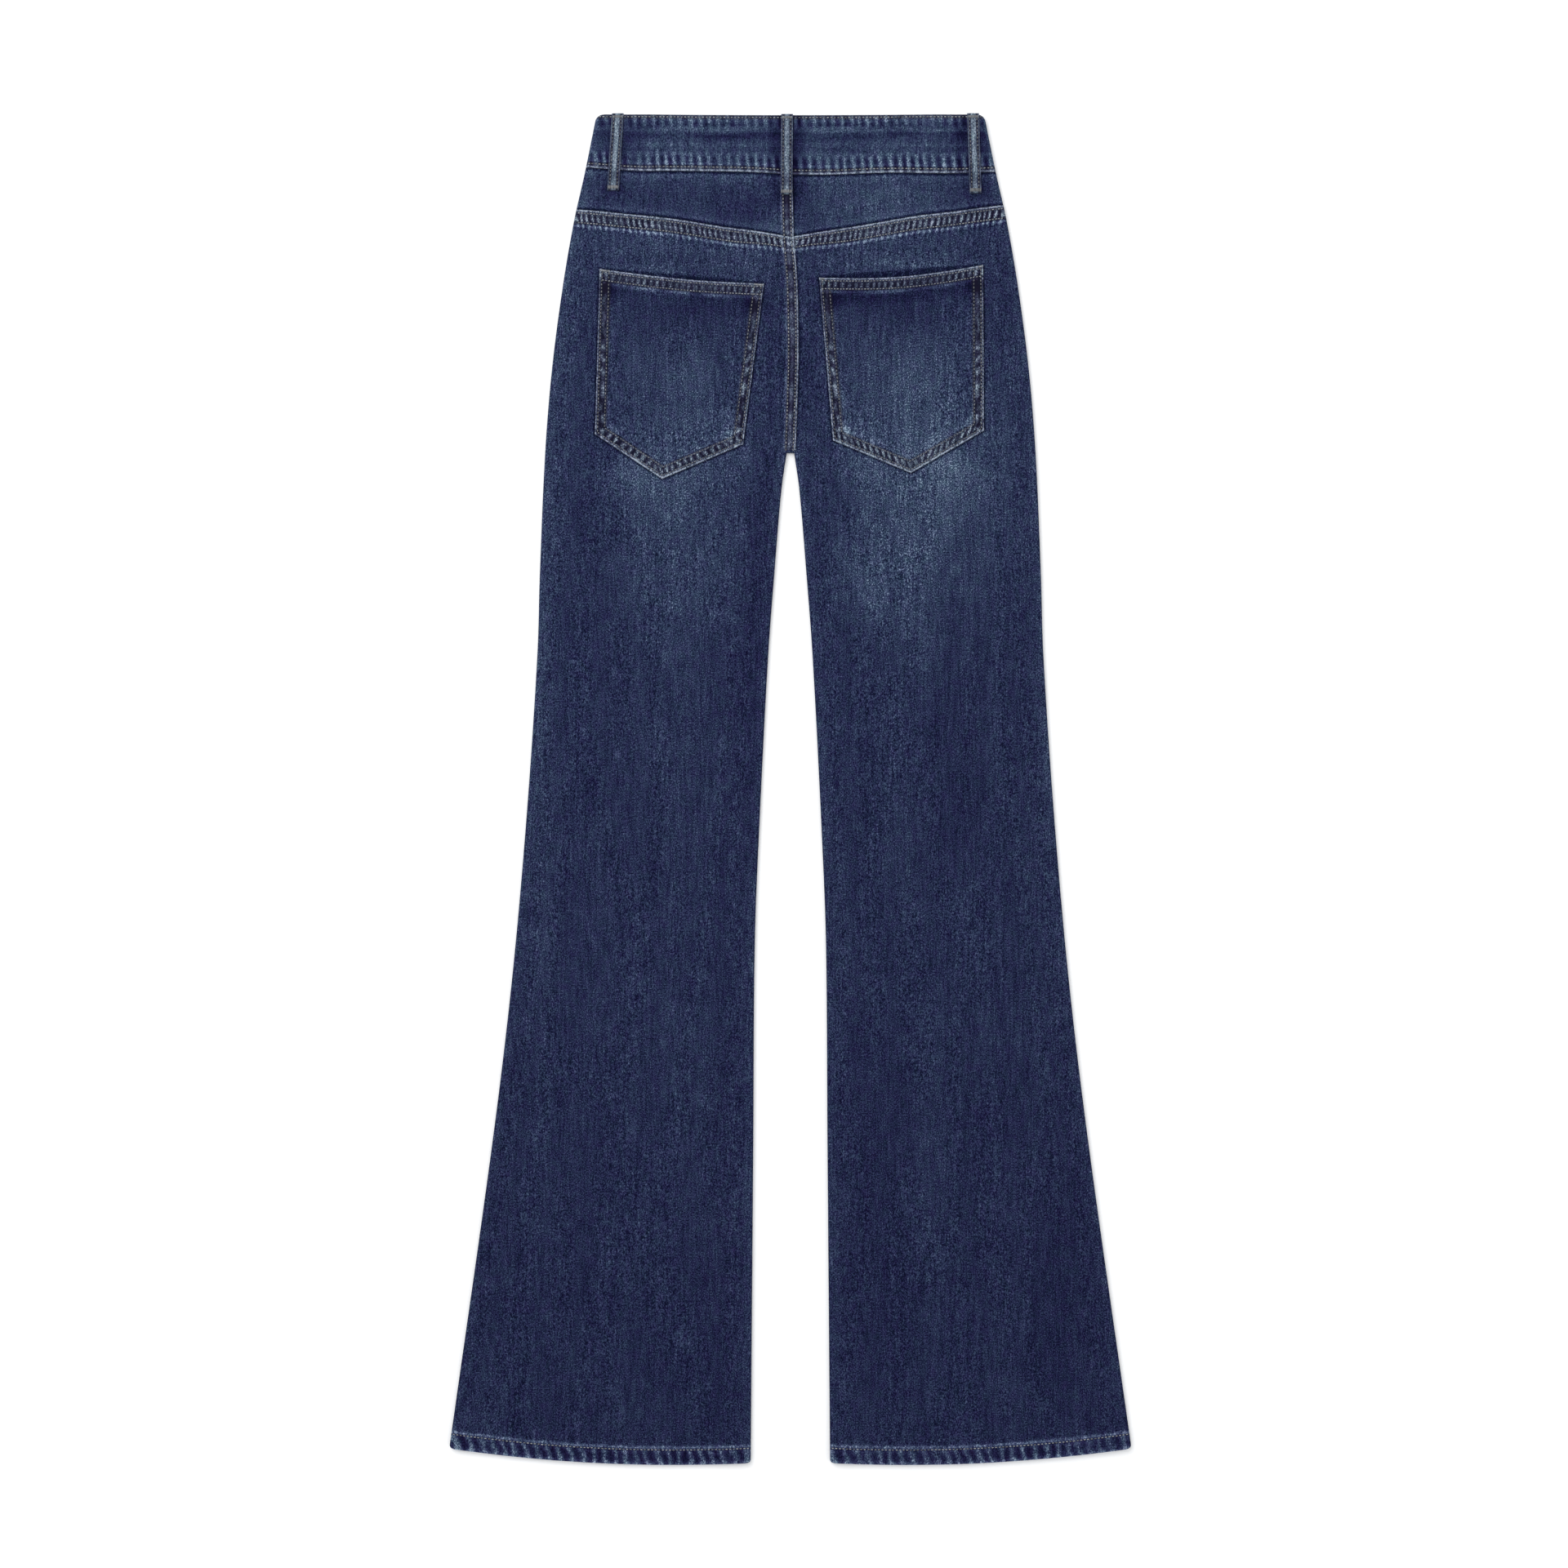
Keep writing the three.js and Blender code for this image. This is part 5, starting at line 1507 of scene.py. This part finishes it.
class JeansStage(bpy.types.PropertyGroup):
    """The table, lights and camera."""

    table_size: length_property("Table size", "Side of the pale table top", 9.0)
    table_drop: length_property("Table drop", "How far the table lies below the cloth's lowest face", 0.0004)
    camera_height: length_property("Camera height", "Camera above the cloth, looking straight down", 3.0756)
    table_colour: colour_property("Table", "Colour of the table top", (0.975, 0.975, 0.975))


# ---- operators ----------------------------------------------------------------------------------

CUTS = {  # kind: (width, length) of the cut that shows, in metres, without what is turned under
    "back_leg": (0.290, 1.070), "front_leg": (0.290, 1.060), "yoke": (0.194, 0.060),
    "waistband": (0.690, 0.052), "pocket": (0.143, 0.178), "loop": (0.0130, 0.068),
}


def cloth_piece(wall, node, kind, material):
    """Finishes a wall as the piece that stands for a node. The cut of its kind is looked up but not given to
    the piece.

    The area is measured on the wall's own outer face as it lies, and isn't taken from a flat pattern; nothing
    uses it.
    """
    flat = CUTS[kind]
    faces, outer = np.vstack(wall.faces), np.vstack(wall.outer) * MM
    a, b, c, d = (outer[faces[:, k]] for k in range(4))
    halves = (np.linalg.norm(np.cross(one, two), axis=1) for one, two in ((b - a, c - a), (c - a, d - a)))
    area = float(sum(halves).sum() / 2)
    return finish_cloth(wall, node + "_cloth", node, material, flat)


class JEANS_OT_front_legs(bpy.types.Operator):
    """Lays the two front legs on the table"""

    bl_idname = "jeans.front_legs"
    bl_label = "Front legs"

    def execute(self, context):
        material = denim(context.scene.jeans_look, "denim front legs", (NO_TONE, NO_TONE, HEM_TONE))
        for side, hand in SIDES.items():
            node = f"front_leg_{hand}"
            cloth_piece(leg_panel(side, False), node, "front_leg", material)
        return {"FINISHED"}


class JEANS_OT_back_legs(bpy.types.Operator):
    """Lays the two back legs over the front ones"""

    bl_idname = "jeans.back_legs"
    bl_label = "Back legs"

    def execute(self, context):
        look = context.scene.jeans_look
        tones = {LEFT: (YOKE_TONE, SEAT_TONE, HEM_TONE), RIGHT: (YOKE_TONE, BUTT_TONE, HEM_TONE)}
        for side, hand in SIDES.items():
            material = denim(look, f"denim back leg {hand}", tones[side], POCKETS[f"pocket_{hand}"])
            cloth_piece(leg_panel(side, True), f"back_leg_{hand}", "back_leg", material)
        return {"FINISHED"}


class JEANS_OT_yokes(bpy.types.Operator):
    """Sets the two yokes between the legs and the waistband"""

    bl_idname = "jeans.yokes"
    bl_label = "Yokes"

    def execute(self, context):
        look = context.scene.jeans_look
        tones = {
            LEFT: (UNDER_BAND_TONE, SEAT_TONE, OVER_SEAM_TONE),
            RIGHT: (UNDER_BAND_TONE, BUTT_TONE, OVER_SEAM_TONE),
        }
        for side, hand in SIDES.items():
            material = denim(look, f"denim yoke {hand}", tones[side], grain_share=0.82)
            cloth_piece(yoke_panel(side), f"yoke_{hand}", "yoke", material)
        return {"FINISHED"}


class JEANS_OT_waistband(bpy.types.Operator):
    """Closes the top with the waistband"""

    bl_idname = "jeans.waistband"
    bl_label = "Waistband"

    def execute(self, context):
        tones = (BAND_TOP_TONE, NO_TONE, BAND_END_TONE)
        material = denim(context.scene.jeans_look, "denim waistband", tones, grain_share=0.70)
        cloth_piece(waistband_wall(), "waistband", "waistband", material)
        return {"FINISHED"}


class JEANS_OT_pockets(bpy.types.Operator):
    """Sews the two patch pockets on the back legs"""

    bl_idname = "jeans.pockets"
    bl_label = "Patch pockets"

    def execute(self, context):
        tones = (MOUTH_TONE, SIDE_TONE, BASE_TONE)
        material = denim(context.scene.jeans_look, "denim pockets", tones)
        for name in POCKETS:
            leg = name.replace("pocket", "back_leg") + "_cloth"
            cloth_piece(pocket_wall(name, surface_of(leg)), name, "pocket", material)
        return {"FINISHED"}


class JEANS_OT_belt_loops(bpy.types.Operator):
    """Sets the belt loops over the waistband"""

    bl_idname = "jeans.belt_loops"
    bl_label = "Belt loops"

    def execute(self, context):
        tones = (LOOP_TONE, NO_TONE, NO_TONE)
        material = denim(context.scene.jeans_look, "denim loops", tones, grain_share=0.5)
        for name in LOOPS:
            cloth_piece(loop_wall(name), name, "loop", material)
        return {"FINISHED"}


BUTTON_SIDES = 48
BUTTON_STEPS = ((0.28, 0.35), (0.10, 0.0), (0.42, -0.2))  # inset in radii, rise in thicknesses
BUTTON_BEVEL = 0.16              # of its thickness


class JEANS_OT_waist_button(bpy.types.Operator):
    """Turns the head of the waist button, which lies face down"""

    bl_idname = "jeans.waist_button"
    bl_label = "Waist button"

    def execute(self, context):
        low, high = (Vector(corner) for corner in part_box("waist_button"))
        middle, radius, thick = (low + high) / 2, (high.x - low.x) / 2, high.z - low.z
        deselect_all()
        bpy.ops.mesh.primitive_cylinder_add(
            vertices=BUTTON_SIDES, radius=radius, depth=thick, location=middle
        )
        button = context.object
        button.name = "waist_button_head"
        bpy.ops.object.mode_set(mode="EDIT")
        bpy.ops.mesh.select_all(action="DESELECT")
        bpy.ops.object.mode_set(mode="OBJECT")
        for face in button.data.polygons:
            face.select = face.normal.z < -0.9
        bpy.ops.object.mode_set(mode="EDIT")
        for inset, rise in BUTTON_STEPS:
            bpy.ops.mesh.inset(thickness=radius * inset)
            bpy.ops.transform.translate(value=(0, 0, thick * rise))
        bpy.ops.object.mode_set(mode="OBJECT")
        bevel = button.modifiers.new("rounded rim", "BEVEL")
        bevel.width, bevel.segments, bevel.limit_method = thick * BUTTON_BEVEL, 3, "ANGLE"
        bpy.ops.object.modifier_apply(modifier=bevel.name)
        bpy.ops.object.transform_apply(location=True, rotation=True, scale=True)
        bpy.ops.object.shade_smooth_by_angle(angle=math.radians(40))
        button.data.materials.append(old_brass())
        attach(button, "root")
        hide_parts("waist_button")
        return {"FINISHED"}


class JEANS_OT_topstitching(bpy.types.Operator):
    """Sews the rows of stitches along every seam, edge and hem"""

    bl_idname = "jeans.topstitching"
    bl_label = "Topstitching"

    def execute(self, context):
        sewing = context.scene.jeans_sewing
        tan, gold, brown = thread_finishes(context.scene.jeans_look)
        for sewn, name in (
            (band_stitches, "waistband_stitches"), (yoke_stitches, "yoke_seam_stitches"),
            (seat_stitches, "seat_seam_stitches"), (hem_stitches, "hem_stitches"),
            (fly_stitches, "fly_stitches"),
        ):
            sewn(sewing).piece(name, tan)
        loop_stitches(sewing).piece("loop_stitches", brown)
        for name in POCKETS:
            mouth, sides = pocket_stitches(sewing, name)
            mouth.piece(f"{name}_mouth_stitches", gold)
            sides.piece(f"{name}_side_stitches", brown)
        return {"FINISHED"}


def band_stitches(sewing):
    thread, surface = Thread(sewing), surface_of("waistband_cloth")
    edge = HALF_WAIST - 1.5
    sew(thread, surface, across_row(lambda x: back_top(x) + BAND_ROWS[0], -edge, edge), WIDE)
    wide = float(side_across(44)) - 1.2
    sew(thread, surface, across_row(lambda x: back_band_end(x) - BAND_ROWS[1], -wide, wide), WIDE)
    for low, high in ((-edge, FLY_EDGE - 1), (FLY_EDGE + 2, edge)):
        row = across_row(lambda x: back_top(x) + front_dip(x) + BAND_ROWS[0], low, high)
        sew(thread, surface, row, WIDE, False)
    for low, high in ((-wide, FLY_EDGE - 1), (FLY_EDGE + 2, wide)):
        sew(thread, surface, across_row(lambda x: front_band_end(x) - BAND_ROWS[1], low, high), WIDE, False)
    return thread


def yoke_stitches(sewing):
    thread, surface = Thread(sewing), surface_of("back_leg_left_cloth", "back_leg_right_cloth")
    for row in YOKE_ROWS:
        def drop_of(x, row=row):
            return yoke_drop(x) + row + flare(x) * smooth((row - 2) / 4)
        side = float(side_across(80)) - 1.2
        seam = float(seat_across(104))
        sew(thread, surface, across_row(drop_of, -side, seam - SEAT_BAND - 0.4), FINE)
        sew(thread, surface, across_row(drop_of, seam + 1.0, side), FINE)
    return thread


def seat_stitches(sewing):
    thread, surface = Thread(sewing), surface_of("back_leg_left_cloth", "yoke_left_cloth")
    for row in SEAT_ROWS:
        line = down_row(lambda drop, row=row: seat_across(drop) - row, 51.5, CROTCH_DROP - 1)
        sew(thread, surface, line, WIDE)
    return thread


def hem_stitches(sewing):
    thread = Thread(sewing)
    low, high = float(inside_across(1110)) + 0.9, float(side_across(1100)) - 0.9
    for side, hand in SIDES.items():
        for layer in ("back", "front"):
            surface = surface_of(f"{layer}_leg_{hand}_cloth")
            row = across_row(lambda x: hem_drop(x) - HEM_STITCH, side * low, side * high)
            sew(thread, surface, row, WIDE, layer == "back")
    return thread


def fly_stitches(sewing):
    """The lapped front edge and the curve of the fly, underneath."""
    thread, surface = Thread(sewing), surface_of("front_leg_left_cloth")
    top = float(front_band_end(0)) + 2
    for row in (1.8, 7.0):
        row = down_row(lambda drop, row=row: fly_across(drop) - row, top, CROTCH_DROP - 2)
        sew(thread, surface, row, WIDE, False)
    turn = FLY_TOP + FLY_LENGTH - 18
    for inset in (0, 6):
        curve = [(-32 + inset, top), (-32 + inset, turn - 12)]
        curve += [(lerp(-32 + inset, 4, 1 - math.cos(a)), turn - 12 + (30 - inset) * math.sin(a))
                  for a in np.linspace(0.1, math.pi / 2, 12)]
        sew(thread, surface, dense(np.array(curve)), WIDE, False)
    return thread


def loop_stitches(sewing):
    thread = Thread(sewing, 0.85)
    for name, (top_x, end_x, _, is_back) in LOOPS.items():
        surface = surface_of(f"{name}_cloth")
        top, _, end = loop_run(name)
        for aside in (-1, 1):
            reach = aside * (LOOP_WIDTH / 2 - LOOP_ROW)

            def x_of(drop, reach=reach):
                return lerp(top_x, end_x, (drop - top) / (end - top)) + reach

            sew(thread, surface, down_row(x_of, top + 3.5, end - 4.5), WIDE, is_back)
    return thread


def pocket_stitches(sewing, name):
    """The stitches along a pocket's mouth, and those along its sides and lower edges."""
    pocket = POCKETS[name]
    surface = surface_of(f"{name}_cloth")
    sides, mouth = Thread(sewing), Thread(sewing)
    for insets in POCKET_ROWS:
        outline = pocket_outline(pocket, *insets)
        outline[0] = lerp(outline[0], outline[1], 0.02)
        outline[-1] = lerp(outline[-1], outline[-2], 0.02)
        for first, last, pitch in ((0, 2, WIDE), (1, 4, FINE), (3, 5, WIDE)):
            sew(sides, surface, dense(outline[first:last]), pitch)
    outer, inner = np.array(pocket["outer_top"]), np.array(pocket["inner_top"])
    for inset in MOUTH_ROWS:
        t = np.linspace(0.012, 0.988, 60)
        row = lerp(outer, inner, t[:, None])
        row[:, 1] += pocket["sag"] * np.sin(np.pi * t) + inset
        sew(mouth, surface, row, FINE)
    return mouth, sides


class JEANS_OT_bar_tacks(bpy.types.Operator):
    """Sews the bar tacks at the belt loops' ends, at the pocket corners and at the fly"""

    bl_idname = "jeans.bar_tacks"
    bl_label = "Bar tacks"

    def execute(self, context):
        sewing = context.scene.jeans_sewing
        tan, gold, brown = thread_finishes(context.scene.jeans_look)
        loops, corners, fly = (Thread(sewing, 0.8) for _ in range(3))
        for name, (top_x, end_x, _, is_back) in LOOPS.items():
            surface = surface_of(f"{name}_cloth")
            top, _, end = loop_run(name)
            bar_tack(loops, surface, (end_x, end - 2.4), LOOP_WIDTH - 0.8, 3.4, 0, is_back)
            bar_tack(loops, surface, (top_x, top + 2.8), LOOP_WIDTH - 1.2, 2.6, 0, is_back)
        loops.piece("loop_bar_tacks", brown)
        for name, pocket in POCKETS.items():
            surface = surface_of(f"{name}_cloth")
            outer, inner = np.array(pocket["outer_top"]), np.array(pocket["inner_top"])
            along = (inner - outer) / np.linalg.norm(inner - outer)
            degrees = math.degrees(math.atan2(along[1], along[0]))
            for corner, inward in ((outer, along), (inner, -along)):
                place = corner + inward * 5.2 + np.array([0, 1.3])
                bar_tack(corners, surface, place, 9.0, 1.7, degrees)
        corners.piece("pocket_bar_tacks", gold)
        surface = surface_of("front_leg_left_cloth")
        bar_tack(fly, surface, (-2.5, FLY_TOP + FLY_LENGTH - 8), 10, 1.9, 90, False)
        fly.piece("fly_bar_tack", tan)
        return {"FINISHED"}


CAMERA_SHIFT = (-0.0053, 0.0046)  # metres from above the middle of the garment
LENS, SENSOR = 85, 36
SKY_COLOUR, SKY_STRENGTH = (0.96, 0.98, 1.0, 1), 0.60
LIGHTS = (  # name, place, size, power
    ("key light", (-1.1, 1.1, 2.3), 2.2, 50), ("fill light", (1.6, -0.6, 2.5), 2.6, 16),
)


class JEANS_OT_stage(bpy.types.Operator):
    """Sets the pale table, the soft lights and the camera above it"""

    bl_idname = "jeans.stage"
    bl_label = "Table, lights and camera"

    def execute(self, context):
        scene, stage = context.scene, context.scene.jeans_stage
        low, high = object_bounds()
        middle = (low + high) / 2
        deselect_all()
        bpy.ops.mesh.primitive_plane_add(size=stage.table_size, location=(0, 0, low.z - stage.table_drop))
        table = context.object
        table.name = "table_top"
        bpy.ops.object.transform_apply(location=True, rotation=True, scale=True)
        table.data.materials.append(matte("pale table", tuple(stage.table_colour), 0.8))
        table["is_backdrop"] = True
        world = bpy.data.worlds.new("soft studio")
        world.use_nodes = True
        sky = world.node_tree.nodes["Background"]
        sky.inputs["Color"].default_value = SKY_COLOUR
        sky.inputs["Strength"].default_value = SKY_STRENGTH
        scene.world = world
        for light in LIGHTS:
            area_light(*light)
        place = (middle.x + CAMERA_SHIFT[0], middle.y + CAMERA_SHIFT[1], high.z + stage.camera_height)
        bpy.ops.object.camera_add(location=place, rotation=(0, 0, 0))
        camera = context.object
        camera.name = "camera above"
        camera.data.lens, camera.data.sensor_width = LENS, SENSOR
        scene.camera = camera
        scene.view_settings.view_transform = "Standard"
        return {"FINISHED"}


def area_light(name, place, size, power):
    """A square soft light that faces the middle of the table."""
    bpy.ops.object.light_add(type="AREA", location=place)
    light = bpy.context.object
    light.name = name
    light.data.shape, light.data.size, light.data.energy = "SQUARE", size, power
    light.rotation_euler = (-Vector(place)).to_track_quat("-Z", "Y").to_euler()


OPERATORS = (
    JEANS_OT_front_legs, JEANS_OT_back_legs, JEANS_OT_yokes, JEANS_OT_waistband, JEANS_OT_pockets,
    JEANS_OT_belt_loops, JEANS_OT_waist_button, JEANS_OT_topstitching, JEANS_OT_bar_tacks, JEANS_OT_stage,
)


class JEANS_PT_panel(bpy.types.Panel):
    """Buttons for the pieces, in the order that they are made"""

    bl_idname = "JEANS_PT_panel"
    bl_label = "Wide leg jeans"
    bl_space_type = "VIEW_3D"
    bl_region_type = "UI"
    bl_category = "Jeans"

    def draw(self, context):
        for group in (context.scene.jeans_look, context.scene.jeans_sewing, context.scene.jeans_stage):
            box = self.layout.box()
            for key in group.bl_rna.properties.keys():
                if key not in {"rna_type", "name"}:
                    box.prop(group, key)
        for operator in OPERATORS:
            self.layout.operator(operator.bl_idname)


CLASSES = (JeansLook, JeansSewing, JeansStage, *OPERATORS, JEANS_PT_panel)


def register():
    for each in CLASSES:
        bpy.utils.register_class(each)
    bpy.types.Scene.jeans_look = PointerProperty(type=JeansLook)
    bpy.types.Scene.jeans_sewing = PointerProperty(type=JeansSewing)
    bpy.types.Scene.jeans_stage = PointerProperty(type=JeansStage)


def unregister():
    for key in ("jeans_look", "jeans_sewing", "jeans_stage"):
        delattr(bpy.types.Scene, key)
    for each in reversed(CLASSES):
        bpy.utils.unregister_class(each)


def main():
    register()
    for operator in OPERATORS:
        family, action = operator.bl_idname.split(".")
        getattr(getattr(bpy.ops, family), action)()


if __name__ == "__main__":
    main()
